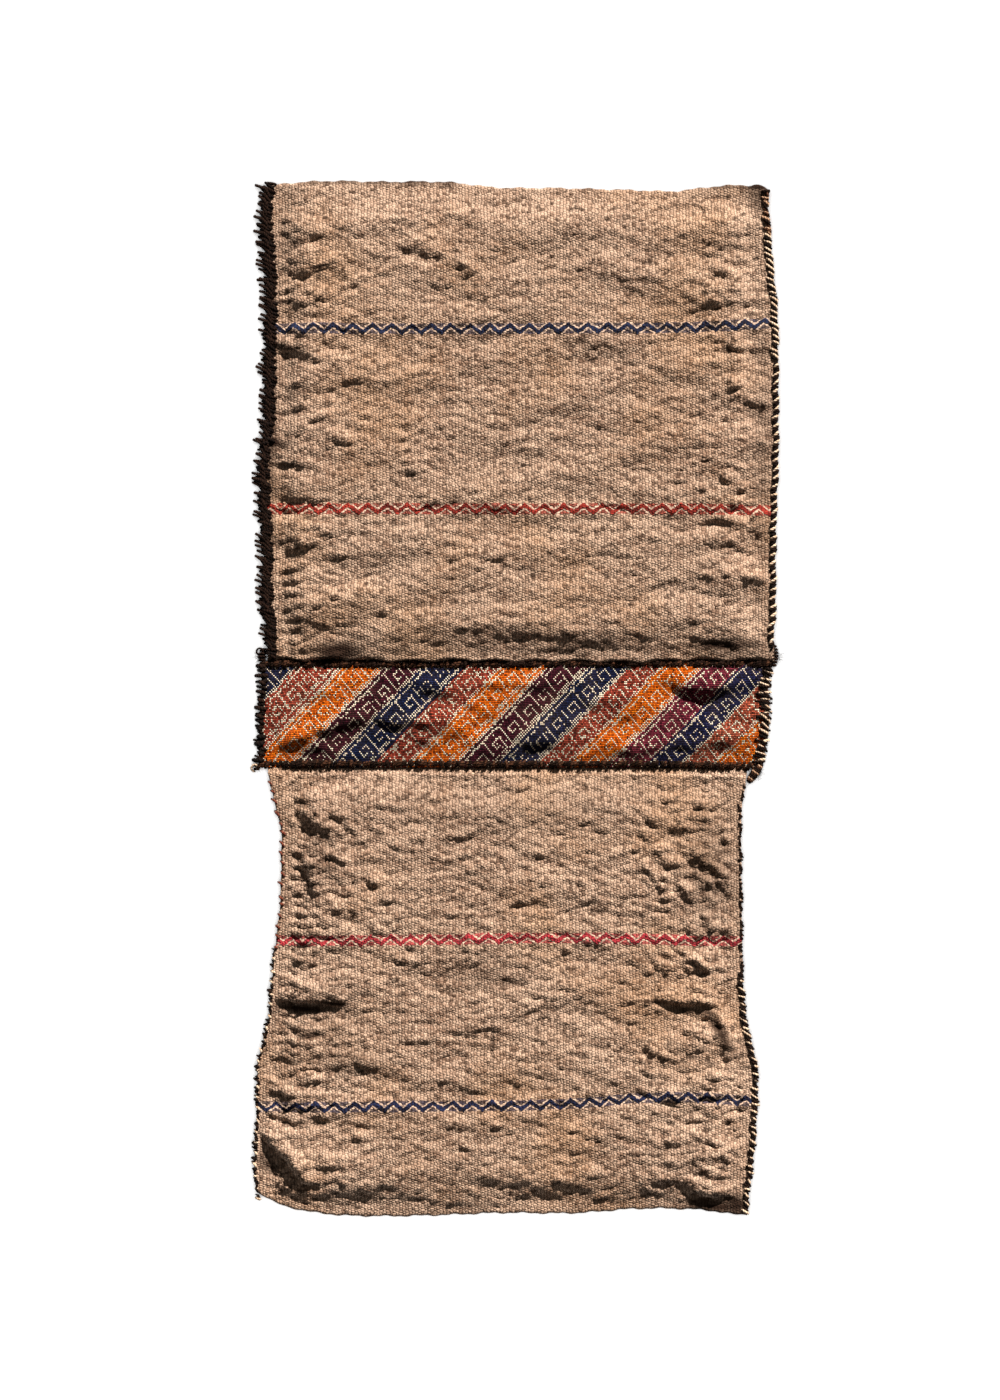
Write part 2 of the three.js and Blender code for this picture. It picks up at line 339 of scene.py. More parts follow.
def tubes_object(name: str, paths: Array, radii: Array, sides: int = 6) -> bpy.types.Object:
    """Makes closed tubes along many paths at once.

    A ring stands square to the path at each of its points: the point, plus radius times
    (cos a times the side vector, plus sin a times the up vector), for `sides` angles a.

    Args:
        name: the object's name.
        paths: (tubes, points, 3) positions.
        radii: (tubes, points) radius at each point.
        sides: points in a ring.

    Returns:
        The object, with a map of yarn: once around, and metres along.
    """
    count, steps = paths.shape[:2]
    forward = unit(np.gradient(paths, axis=1))
    leaning_up = np.array([0.12, 0.31, 1.0])  # no yarn runs just this way
    side = unit(np.cross(forward, leaning_up))
    above = np.cross(side, forward)
    angle = np.arange(sides) * 2 * math.pi / sides
    ring = (
        np.cos(angle)[:, None] * side[:, :, None, :]
        + np.sin(angle)[:, None] * above[:, :, None, :]
    )
    points = (paths[:, :, None, :] + radii[:, :, None, None] * ring).reshape(-1, 3)
    base = (np.arange(count) * steps * sides)[:, None, None]
    k, s = np.meshgrid(np.arange(steps - 1), np.arange(sides), indexing="ij")
    a = base + k * sides + s
    b = base + k * sides + (s + 1) % sides
    walls = np.stack([a, a + sides, b + sides, b], -1).reshape(-1, 4)
    start = base[:, :, 0] + np.arange(sides)
    end = start + (steps - 1) * sides
    caps = np.concatenate([start, end[:, ::-1]])
    metres = np.concatenate(
        [np.zeros((count, 1)), np.cumsum(np.linalg.norm(np.diff(paths, axis=1), axis=-1), 1)], 1
    )
    around = np.tile(np.arange(sides) / sides, count * steps)
    apart = 0.013  # metres by which each tube's map starts further on than the last one's
    along = np.repeat((metres * MM + np.arange(count)[:, None] * apart).ravel(), sides)
    return object_from(name, points, [walls, caps], np.stack([around, along], 1), YARN_MAP)


def paint_faces(target: bpy.types.Object, colours: Array) -> None:
    """Stores a linear colour on each face, as the attribute that the brocade's material reads."""
    layer = target.data.attributes.new(DYE, "FLOAT_COLOR", "FACE")
    layer.data.foreach_set("color", colours.astype(np.float32).ravel())


# ---------------------------------------------------------------------------------------------
# finishes
# ---------------------------------------------------------------------------------------------
# The property that says what a node works out, for the kinds that can do many things.
CHOICE = {
    "MapRange": "interpolation_type",
    "Math": "operation",
    "Mix": "data_type",
    "VectorMath": "operation",
}
SMOOTH = "MapRange:SMOOTHSTEP"  # from a low and a high value to 0 and 1, or to two more values
MIX = "Mix:RGBA"  # by a share, from a first colour to a second


@dataclass
class Graph:
    """The node tree of one material, and the few things that are done to it."""

    material: bpy.types.Material

    @classmethod
    def named(cls: type["Graph"], name: str) -> "Graph":
        """Starts an empty material.

        Args:
            name: of the material.

        Returns:
            Its graph.
        """
        material = bpy.data.materials.new(name)
        material.use_nodes = True
        material.node_tree.nodes.clear()
        return cls(material)

    def add(self, kind: str, *values: object, **settings: object) -> bpy.types.Node:
        """Adds a node with its settings, its values and its links.

        Args:
            kind: the node's type, with its choice after a colon where it can do many things.
            *values: what goes into the sockets in use, in order, or one dict of it by socket name. A
                socket is linked, and a node stands for its first output in use.
            **settings: the node's other properties.

        Returns:
            The node.
        """
        kind, _, choice = kind.partition(":")
        made = self.material.node_tree.nodes.new("ShaderNode" + kind)
        if choice:
            settings[CHOICE[kind]] = choice
        for name, value in settings.items():
            setattr(made, name, value)
        if values and isinstance(values[0], dict):
            pairs = [(made.inputs[name], value) for name, value in values[0].items()]
        else:
            pairs = list(zip([socket for socket in made.inputs if socket.enabled], values))
        for socket, value in pairs:
            if isinstance(value, bpy.types.Node):
                value = next(output for output in value.outputs if output.enabled)
            if isinstance(value, bpy.types.NodeSocket):
                self.material.node_tree.links.new(value, socket)
            else:
                socket.default_value = value
        return made


@dataclass(frozen=True)
class Band:
    """One woven zigzag band: a brocaded line that runs up and down between small marks."""

    centre: float  # along Y
    dye: str
    shade: str  # the darker tone of the same yarn
    phase: float = 0.0


@dataclass(frozen=True)
class Patch:
    """A darkened ellipse that fades out to its rim: soil in some places, and painted shade or shadow along
    creases, under folds and down a shaded edge in others.
    """

    centre: tuple[float, float]
    radii: tuple[float, float]
    strength: float
    turn: float = 0.0  # degrees from X towards Y


@dataclass(frozen=True)
class HandspunWool:
    """Undyed hand-spun sheep's wool in plain weave.

    Thick soft yarns with gaps between them, where the shade is painted dark, give the eye a fine
    pepper-and-salt grain. Dark fibres in the fleece fleck it, rows differ in tone with each spinning,
    and the surface has no gloss, only the pale halo of loose fibres at a grazing angle.
    """

    name: str
    bands: tuple[Band, ...] = ()
    patches: tuple[Patch, ...] = ()
    light: str = "#c6ad99"
    dark: str = "#866a58"
    # painted shade: the dark colour of the gaps between beads, where shade falls
    gap: str = "#2c1d14"
    # Real yarns lie 1.1 to 1.7 mm apart, and show as beads side by side, two yarns to a bead. They are
    # drawn a little coarser, so that each bead is seen.
    warp_pitch: float = 3.0
    weft_pitch: float = 2.4
    golden: str = "#a88058"  # aged wool
    # the dark of soil, and of the painted shade and shadow in some patches
    soil_and_shade: str = "#2b1d15"
    edging: str = "#ffe8d4"  # the pale rows beside a zigzag
    zigzag_period: float = 18.6
    zigzag_height: float = 7.2

    def material(self) -> bpy.types.Material:
        """Builds the material.

        Returns:
            The material.
        """
        g = Graph.named(self.name)
        place = g.add("UVMap", uv_map=CLOTH_MAP)
        solid = g.add("TexCoord").outputs["Object"]
        split = g.add("SeparateXYZ", place)
        x = g.add("Math:MULTIPLY", split.outputs[0], 1 / MM)
        y = g.add("Math:MULTIPLY", split.outputs[1], 1 / MM)

        # Hand-spun yarn wanders by about half its own thickness, over a couple of centimetres, and
        # its neighbours jostle it from bead to bead.
        wander = g.add("TexNoise", {"Vector": solid, "Scale": 70.0, "Detail": 2.0})
        drift = g.add("SeparateXYZ", wander.outputs["Color"])
        jostle = g.add("TexNoise", {"Vector": solid, "Scale": 330.0, "Detail": 1.0})
        bent_x = g.add("Math:MULTIPLY_ADD", drift.outputs[0], 2.8, x)
        bent_x = g.add("Math:MULTIPLY_ADD", jostle, 4.0, bent_x)
        bent_y = g.add("Math:MULTIPLY_ADD", drift.outputs[1], 2.2, y)
        u = g.add("Math:DIVIDE", bent_x, self.warp_pitch)
        v = g.add("Math:DIVIDE", bent_y, self.weft_pitch)
        v = g.add("Math:MULTIPLY_ADD", g.add("Math:FLOOR", u), 0.5, v)

        # The face of a plain weave: columns of warp beads, each a rounded |sin| both ways, and every
        # column half a bead up from the last. The low gaps between the beads get painted shade below.
        warp = g.add("Math:ABSOLUTE", g.add("Math:SINE", g.add("Math:MULTIPLY", u, math.pi)))
        weft = g.add("Math:ABSOLUTE", g.add("Math:SINE", g.add("Math:MULTIPLY", v, math.pi)))
        relief = g.add("Math:MULTIPLY", warp, g.add("Math:MULTIPLY_ADD", weft, 0.6, 0.4))

        # Each visible float of yarn has its own tone, and each row and column a tone of its spinning.
        cell = g.add("CombineXYZ", g.add("Math:FLOOR", u), g.add("Math:FLOOR", v))
        fleck = g.add("TexWhiteNoise", {"Vector": cell}, noise_dimensions="2D")
        row = g.add("TexWhiteNoise", {"W": g.add("Math:FLOOR", v)}, noise_dimensions="1D")
        column = g.add("TexWhiteNoise", {"W": g.add("Math:FLOOR", u)}, noise_dimensions="1D")
        streak_map = g.add("Mapping", {"Vector": solid, "Scale": (45.0, 170.0, 60.0)})
        streak = g.add("TexNoise", {"Vector": streak_map, "Scale": 1.0, "Detail": 3.0})
        cloud = g.add("TexNoise", {"Vector": solid, "Scale": 7.0, "Detail": 5.0})
        tone = g.add("Math:MULTIPLY", fleck, 0.35)
        tone = g.add("Math:MULTIPLY_ADD", row, 0.08, tone)
        tone = g.add("Math:MULTIPLY_ADD", column, 0.10, tone)
        tone = g.add("Math:MULTIPLY_ADD", streak, 0.35, tone)
        tone = g.add("Math:MULTIPLY_ADD", cloud, 0.35, tone)
        yarn = g.add(MIX, g.add(SMOOTH, tone, 0.22, 0.85), linear(self.dark), linear(self.light))

        # Age has turned the wool golden in places.
        aged = g.add("TexNoise", {"Vector": solid, "Scale": 9.0, "Detail": 4.0})
        golden = g.add(SMOOTH, aged, 0.45, 0.7, 0.0, 0.35)
        yarn = g.add(MIX, golden, yarn, linear(self.golden))

        # Darkened patches: some are soil, others are painted shade and painted shadow in creases, under
        # folds and along a shaded edge.
        yarn = g.add(MIX, self._soil_and_painted_shade(g, solid, streak), yarn, linear(self.soil_and_shade))

        pucker_map = g.add("Mapping", {"Vector": solid, "Scale": (115.0, 190.0, 120.0)})
        pucker = g.add("TexNoise", {"Vector": pucker_map, "Scale": 1.0, "Detail": 2.0})
        # Painted shade: where the relief is low, between the beads, the colour goes towards the dark gap
        # colour. The specks are the wool's own dark fibres.
        seen = g.add(SMOOTH, relief, 0.05, 0.6, 0.36, 1.0)
        speck = g.add(SMOOTH, fleck, 0.02, 0.2, 0.5, 1.0)
        seen = g.add("Math:MULTIPLY", seen, speck)
        # Painted shade: the colour darkens in the hollows of the pucker bumps.
        pucker_hollow_shade = g.add(SMOOTH, pucker, 0.32, 0.42, 0.35, 1.0)
        colour = g.add(MIX, g.add("Math:MULTIPLY", seen, pucker_hollow_shade), linear(self.gap), yarn)
        raised: bpy.types.Node | float = 0.0
        dye_share = g.add(SMOOTH, streak, 0.3, 0.7)
        out_of_gap_shade = g.add(SMOOTH, relief, -0.2, 0.5)
        for band in self.bands:
            line, edging, marks = self._zigzag(g, bent_x, bent_y, band)
            dyed = g.add(MIX, dye_share, linear(band.shade), linear(band.dye))
            # Painted shade: the band's dye also goes dark in the low gaps between the beads.
            dyed = g.add(MIX, out_of_gap_shade, linear(self.gap), dyed)
            colour = g.add(MIX, edging, colour, linear(self.edging))
            share = g.add("Math:MAXIMUM", line, g.add("Math:MULTIPLY", marks, 0.8))
            colour = g.add(MIX, share, colour, dyed)
            raised = g.add("Math:ADD", raised, line)

        fibres = g.add("TexNoise", {"Vector": solid, "Scale": 900.0, "Detail": 2.0})
        height = g.add("Math:MULTIPLY_ADD", fibres, 0.35, relief)
        height = g.add("Math:MULTIPLY_ADD", raised, 0.5, height)
        height = g.add("Math:MULTIPLY_ADD", pucker, 2.6, height)
        bump = g.add("Bump", {"Height": height, "Distance": 0.65 * MM, "Strength": 1.0})
        looks = {
            "Base Color": colour,
            "Roughness": 0.95,
            "Specular IOR Level": 0.15,
            "Sheen Weight": 0.05,
            "Sheen Roughness": 0.5,
            "Normal": bump,
        }
        g.add("OutputMaterial", {"Surface": g.add("BsdfPrincipled", looks)})
        return g.material

    def _soil_and_painted_shade(
        self, g: Graph, solid: bpy.types.NodeSocket, streak: bpy.types.Node
    ) -> bpy.types.Node | float:
        """Adds up the darkened patches, of soil and of painted shade and shadow. Each fades towards its
        rim, which the streaks make ragged.

        Args:
            g: the material's graph.
            solid: the place on the object.
            streak: the noise drawn out along the rows.

        Returns:
            How dark the soil and the painted shade make the cloth, from 0 up.
        """
        soil_and_shade_share: bpy.types.Node | float = 0.0
        for patch in self.patches:
            values = {
                "Vector": solid,
                "Location": (patch.centre[0] * MM, patch.centre[1] * MM, 0.0),
                "Rotation": (0.0, 0.0, math.radians(patch.turn)),
                "Scale": (patch.radii[0] * MM, patch.radii[1] * MM, 1.0),
            }
            far = g.add("VectorMath:LENGTH", g.add("Mapping", values, vector_type="TEXTURE"))
            ragged = g.add("Math:MULTIPLY_ADD", streak, 0.5, far)
            here = g.add(SMOOTH, ragged, 0.35, 1.2, patch.strength, 0.0)
            soil_and_shade_share = g.add("Math:ADD", soil_and_shade_share, here)
        return soil_and_shade_share

    def _zigzag(
        self, g: Graph, x: bpy.types.Node, y: bpy.types.Node, band: Band
    ) -> tuple[bpy.types.Node, ...]:
        """Adds one band. The distance from a triangle wave gives its line, pale edgings and marks.

        Args:
            g: the material's graph.
            x: millimetres across the cloth.
            y: millimetres along it.
            band: where it lies.

        Returns:
            The shares of the line, the edgings and the marks.
        """
        turn = g.add("Math:FRACT", g.add("Math:MULTIPLY_ADD", x, 1 / self.zigzag_period, band.phase))
        wave = g.add("Math:ABSOLUTE", g.add("Math:SUBTRACT", turn, 0.5))  # 0 to 0.5 and back
        from_middle = g.add("Math:SUBTRACT", y, band.centre + 1.5)
        swing = g.add("Math:MULTIPLY_ADD", wave, 2 * self.zigzag_height, -self.zigzag_height / 2)
        off = g.add("Math:ABSOLUTE", g.add("Math:SUBTRACT", from_middle, swing))
        line = g.add(SMOOTH, off, 2.0, 2.8, 1.0, 0.0)
        inside = g.add(SMOOTH, g.add("Math:ABSOLUTE", from_middle), 4.6, 5.4, 1.0, 0.0)
        edging = g.add("Math:MULTIPLY", g.add(SMOOTH, off, 3.9, 4.5, 0.3, 0.0), inside)
        marks = g.add("Math:MULTIPLY", g.add(SMOOTH, off, 3.9, 4.7), inside)
        return line, edging, marks


@dataclass(frozen=True)
class Brocade:
    """Wool brocade on a cream ground: each step of the pattern is one wrapped stitch of dyed yarn.

    The stitches catch the light one by one, so a field of one dye is never flat: natural dyes took
    unevenly, and the cream ground shows as dots where two stitches meet.
    """

    name: str
    step_across: float
    step_along: float

    def material(self) -> bpy.types.Material:
        """Builds the material.

        Returns:
            The material.
        """
        g = Graph.named(self.name)
        place = g.add("UVMap", uv_map=CLOTH_MAP)
        solid = g.add("TexCoord").outputs["Object"]
        split = g.add("SeparateXYZ", place)
        u = g.add("Math:MULTIPLY", split.outputs[0], 1 / (self.step_across * MM))
        v = g.add("Math:MULTIPLY", split.outputs[1], 1 / (self.step_along * MM))
        # A stitch is a rounded pillow: |sin| each way. The low lines that part it from its neighbours are
        # painted near black, as painted shade.
        across = g.add("Math:ABSOLUTE", g.add("Math:SINE", g.add("Math:MULTIPLY", u, math.pi)))
        along = g.add("Math:ABSOLUTE", g.add("Math:SINE", g.add("Math:MULTIPLY", v, math.pi)))
        pillow = g.add("Math:MULTIPLY", across, along)
        dye = g.add("Attribute", attribute_name=DYE).outputs["Color"]
        cloud = g.add("TexNoise", {"Vector": solid, "Scale": 45.0, "Detail": 4.0})
        fading = g.add(SMOOTH, cloud, 0.4, 0.75, 0.0, 0.05)
        faded = g.add(MIX, fading, dye, linear("#cfae90"))
        # Painted shade: near black in the low lines between stitches.
        shade_lined = g.add(MIX, g.add(SMOOTH, pillow, 0.0, 0.4, 0.95, 0.0), faded, linear("#0f0907"))
        fibres = g.add("TexNoise", {"Vector": solid, "Scale": 900.0, "Detail": 2.0})
        height = g.add("Math:MULTIPLY_ADD", fibres, 0.4, pillow)
        bump = g.add("Bump", {"Height": height, "Distance": 1.3 * MM, "Strength": 1.0})
        looks = {
            "Base Color": shade_lined,
            "Roughness": 0.9,
            "Specular IOR Level": 0.1,
            "Normal": bump,
        }
        g.add("OutputMaterial", {"Surface": g.add("BsdfPrincipled", looks)})
        return g.material


@dataclass(frozen=True)
class PliedYarn:
    """Two-ply wool or goat-hair yarn: a slanting twist with painted shade in its grooves, a matt hairy
    surface, and uneven natural colour.
    """

    name: str
    colour: str
    # the darker colour: painted shade in the twist's grooves, and uneven tone
    shade: str
    halo: float = 0.1  # how much the loose fibres scatter light at a grazing angle
    twist: float = 5.0  # millimetres along the yarn for one turn of the ply

    def material(self) -> bpy.types.Material:
        """Builds the material.

        Returns:
            The material.
        """
        g = Graph.named(self.name)
        place = g.add("UVMap", uv_map=YARN_MAP)
        solid = g.add("TexCoord").outputs["Object"]
        split = g.add("SeparateXYZ", place)
        turns = g.add("Math:MULTIPLY_ADD", split.outputs[1], 1 / (self.twist * MM), split.outputs[0])
        ply = g.add("Math:ABSOLUTE", g.add("Math:SINE", g.add("Math:MULTIPLY", turns, 2 * math.pi)))
        noise = g.add("TexNoise", {"Vector": solid, "Scale": 260.0, "Detail": 4.0})
        # Painted shade: the grooves of the twist lean towards the shade colour; the noise is uneven natural
        # colour.
        tone = g.add("Math:MULTIPLY_ADD", ply, 0.45, noise)
        colour = g.add(MIX, g.add(SMOOTH, tone, 0.4, 1.1), linear(self.shade), linear(self.colour))
        fibres = g.add("TexNoise", {"Vector": solid, "Scale": 1400.0, "Detail": 2.0})
        height = g.add("Math:MULTIPLY_ADD", fibres, 0.6, ply)
        bump = g.add("Bump", {"Height": height, "Distance": 0.5 * MM, "Strength": 1.0})
        looks = {
            "Base Color": colour,
            "Roughness": 0.95,
            "Specular IOR Level": 0.1,
            "Sheen Weight": self.halo,
            "Normal": bump,
        }
        g.add("OutputMaterial", {"Surface": g.add("BsdfPrincipled", looks)})
        return g.material


class Yarn(Enum):
    """The yarns that sew the bag together."""

    DARK = PliedYarn("goat_hair_yarn_black_brown", "#291b15", "#0a0604", 0.0)
    BLACK = PliedYarn("goat_hair_yarn_black", "#1a1210", "#060403", 0.0)
    CREAM = PliedYarn("wool_yarn_cream", "#e4d0b8", "#9c8168")
    WHEAT = PliedYarn("wool_yarn_wheat", "#c4a386", "#6e5140")
    BROWN = PliedYarn("wool_yarn_brown", "#6b4632", "#2c1a12")
    UMBER = PliedYarn("goat_hair_yarn_umber", "#523627", "#160d08", 0.0)
    RUSSET = PliedYarn("wool_yarn_russet", "#7a4030", "#301611")


class Dye(Enum):
    """The dyed wools of the brocade."""

    NAVY = "#111e42"
    ROSE = "#a04434"
    ORANGE = "#ee6c0e"
    PLUM = "#441426"
    MADDER = "#76273c"
    LILAC = "#1b2148"
    TERRACOTTA = "#ad5640"
    CREAM = "#fff0da"
    DARK = "#1b120f"


@dataclass
class Wardrobe:
    """Makes each finish once, and hands it out again."""

    made: dict[str, bpy.types.Material] = field(default_factory=dict)

    def dress(self, target: bpy.types.Object, finish: "HandspunWool | Brocade | PliedYarn") -> None:
        """Puts a finish on an object.

        Args:
            target: the object.
            finish: what it is made of.
        """
        if finish.name not in self.made:
            self.made[finish.name] = finish.material()
        target.data.materials.append(self.made[finish.name])


def hand_in(piece: bpy.types.Object, stands_for: str) -> bpy.types.Object:
    """Tells the frame what a piece is: it rides on the one body, and stands for a CAD node.

    Args:
        piece: the finished object.
        stands_for: the CAD node that it replaces.

    Returns:
        The piece.
    """
    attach(piece, "root")
    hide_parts(stands_for)
    log.info("%s: %d faces", piece.name, len(piece.data.polygons))
    return piece


# ---------------------------------------------------------------------------------------------
# pouches
# ---------------------------------------------------------------------------------------------
CLOTH = 2.5  # thickness of the pouch cloth
LIFT = 2.3  # how far the yarn under a side edge holds the cloth off the surface
TURN = (CLOTH + 0.8) / 2  # radius of the middle of the cloth where it turns over


def edge_lift(inside: Array) -> Array:
    """Gives how far cloth is lifted at that distance inside its side edge."""
    return LIFT * (1 - ease(inside, 8, 20))


@dataclass(frozen=True)
class Pouch:
    """One length of plain cloth, folded over into a pouch: back, tight fold, and front on top."""

    name: str
    node: str
    away: int  # +1 where the pouch runs towards +Y from the bridge
    join: float  # Y of the seam to the bridge
    edges: tuple[tuple[float, float, float], ...]  # (y, left x, right x)
    fold: tuple[tuple[float, float], ...]  # (x, y)
    mouth: tuple[tuple[float, float], ...]  # (x, y) of the front's mouth edge
    folds: tuple[Fold, ...]
    puckers: tuple[Puckers, ...]
    ripples: tuple[tuple[Ripple, float, float], ...]  # with their strength in the middle and at the sides
    rows_drawn: tuple[tuple[float, tuple[tuple[float, float], ...]], ...]  # a woven row and where it lies
    flat: tuple[float, float]
    finish: HandspunWool
    tuck_depth: float = 1.6  # how far the mouth edge draws back between the points that hold it
    tuck_pitch: float = 11.0
    gap_middle: float = 9.5
    gap_mouth: float = 1.2
    width: float = 490.0  # the usual width, which with the step sets the number of grid columns
    front_length: float = 425.0  # the same for the front's rows
    step: float = 2.3
    back_rows: int = 30
    turn_rows: int = 9  # the first and last of them belong to the back and the front

    def left(self, y: Array) -> Array:
        """Gives the left side edge's x at y."""
        return curve_through([(e[0], e[1]) for e in self.edges])(y) + wobble(y)

    def right(self, y: Array) -> Array:
        """Gives the right side edge's x at y."""
        return curve_through([(e[0], e[2]) for e in self.edges])(y) - wobble(y + 40)

    def inside(self, x: Array, y: Array) -> Array:
        """Gives how far a point lies inside the nearer side edge."""
        return np.minimum(x - self.left(y), self.right(y) - x)

    def top(self, x: Array, y: Array) -> Array:
        """Gives the height of the front's upper face."""
        return self.front_height(x, y) + CLOTH / 2

    def back_height(self, x: Array, y: Array) -> Array:
        """Gives the height of the middle of the back: level, and lifted along the sides by the yarn."""
        return edge_lift(self.inside(x, y)) + CLOTH / 2

    def front_height(self, x: Array, y: Array) -> Array:
        """Gives the height of the middle of the front.

        It is the back's height, the cloth's thickness and the space between, with folds and ripples
        added. The space closes towards the sides and the fold, and narrows at the mouth. A small wave
        bends the lines of the folds. Where all this would press the front through the back, it levels
        off as half of (h + sqrt(h^2 + 1)).

        Args:
            x: places across the pouch.
            y: places along it.

        Returns:
            The heights.
        """
        inside = self.inside(x, y)
        from_fold = np.abs(curve_through(self.fold)(x) - y)
        from_mouth = np.abs(y - curve_through(self.mouth)(x))
        free_mouth = self.gap_mouth + 0.8 * self.tuck_depth * (self.tucks(x) - 0.6)
        middle = free_mouth + (self.gap_middle - free_mouth) * ease(from_mouth, 0, 42)
        gap = middle * ease(inside, 4, 42) * ease(from_fold, 2, 40)
        relief = np.zeros_like(x)
        bent_x = x + Ripple(24, 20, 1.0, 71).at(x, y)
        bent_y = y + Ripple(22, 16, 0.9, 72).at(x, y)
        for fold in (*self.folds, *(small for field in self.puckers for small in field.folds())):
            relief += fold.at(bent_x, bent_y)
        for ripple, middle_share, side_share in self.ripples:
            share = side_share + (middle_share - side_share) * ease(inside, 20, 95)
            relief += ripple.at(x, y) * share
        hold = ease(inside, 3, 16) * ease(from_fold, 1, 14)
        free = gap + relief * (0.15 + 0.85 * hold)
        pressed = (free + np.sqrt(free * free + 1.0)) / 2
        return self.back_height(x, y) + CLOTH + 0.3 + pressed

    def tucks(self, x: Array) -> Array:
        """Gives 0 where the mouth edge is held and up to 1 between: |sin|, with a wandering pitch."""
        return np.abs(np.sin(math.pi * x / self.tuck_pitch + 0.9 * np.sin(x / (3.1 * self.tuck_pitch))))

    def woven_row(self, x: Array, y: Array) -> Array:
        """Gives the cloth's own y: rows that were woven straight now lie along the drawn lines.

        Each drawn row moves the map by its distance from its own height, fading over 70 mm.

        Args:
            x: places across the pouch.
            y: places along it.

        Returns:
            The y of the weaving row at each place.
        """
        moved = np.array(y, float)
        for base, line in self.rows_drawn:
            off = curve_through(line)(x) - base
            moved = moved - off * np.exp(-(((y - base) / 70) ** 2))
        return moved

    def build(self) -> bpy.types.Object:
        """Builds the cloth: rows along the back, round the fold and back along the front.

        Returns:
            The cloth.
        """
        u = np.linspace(0, 1, int(round(self.width / self.step)) + 1)[None, :]

        def across(line: Sequence[tuple[float, float]]) -> Array:
            """Gives x for every column, from one end of a line to the other."""
            return line[0][0] + (line[-1][0] - line[0][0]) * u

        def spread(y: Array) -> Array:
            """Gives x for points of the grid at y, from the left edge to the right."""
            left, right = self.left(y), self.right(y)
            return left + (right - left) * u

        fold_x, mouth_x = across(self.fold), across(self.mouth)
        turn = curve_through(self.fold)(fold_x) + wobble(fold_x) - self.away * (TURN + CLOTH / 2)
        mouth = curve_through(self.mouth)(mouth_x) + self.away * self.tuck_depth * self.tucks(mouth_x)
        join = self.join + self.away * 1.2  # under the middle of the seam

        y = join + (turn - join) * np.linspace(0, 1, self.back_rows)[:, None]
        x = spread(y)
        back = np.stack([x, y, self.back_height(x, y)], -1)
        back_map = np.stack([x, 2 * turn - y], -1)

        angle = np.linspace(0, math.pi, self.turn_rows)[1:-1][:, None]
        level = turn + 0 * angle
        x = spread(level)
        floor = self.back_height(x, turn)
        rise = (self.front_height(x, level) - floor) / 2
        out = self.away * TURN
        around = np.stack([x, turn + out * np.sin(angle), floor + rise * (1 - np.cos(angle))], -1)
        around_map = np.stack([x, turn + out * (math.pi / 2 - angle)], -1)

        y = mouth + (turn - mouth) * np.linspace(1, 0, int(round(self.front_length / self.step)))[:, None]
        x = spread(y)
        front = np.stack([x, y, self.front_height(x, y)], -1)
        front_map = np.stack([x, self.woven_row(x, y)], -1)

        place = np.concatenate([back_map, around_map, front_map]) * MM
        return cloth_object(self.name, np.concatenate([back, around, front]), place, CLOTH)

    def make(self, wardrobe: Wardrobe) -> bpy.types.Object:
        """Builds, dresses and hands in the cloth.

        Args:
            wardrobe: which holds the finishes.

        Returns:
            The piece.
        """
        made = self.build()
        wardrobe.dress(made, self.finish)
        hand_in(made, self.node)
        return made


# ---------------------------------------------------------------------------------------------
# bridge
# ---------------------------------------------------------------------------------------------
@dataclass(frozen=True)
class Stripe:
    """One slanting stripe of the brocade, a number of diagonal weaving steps wide."""

    dye: Dye
    width: int
    paleness: float = 0.04  # share of stitches in which the cream ground comes through


# The running hook that every stripe carries, one character for a step across or along the stripe.
# Hash signs are cream.
HOOK = (
    "#.........",
    "#.........",
    "#.........",
    "#..#####..",
    "#..#...#..",
    "#..#...#..",
    "#..###.#..",
    "#......#..",
    "#......#..",
    "########..",
)


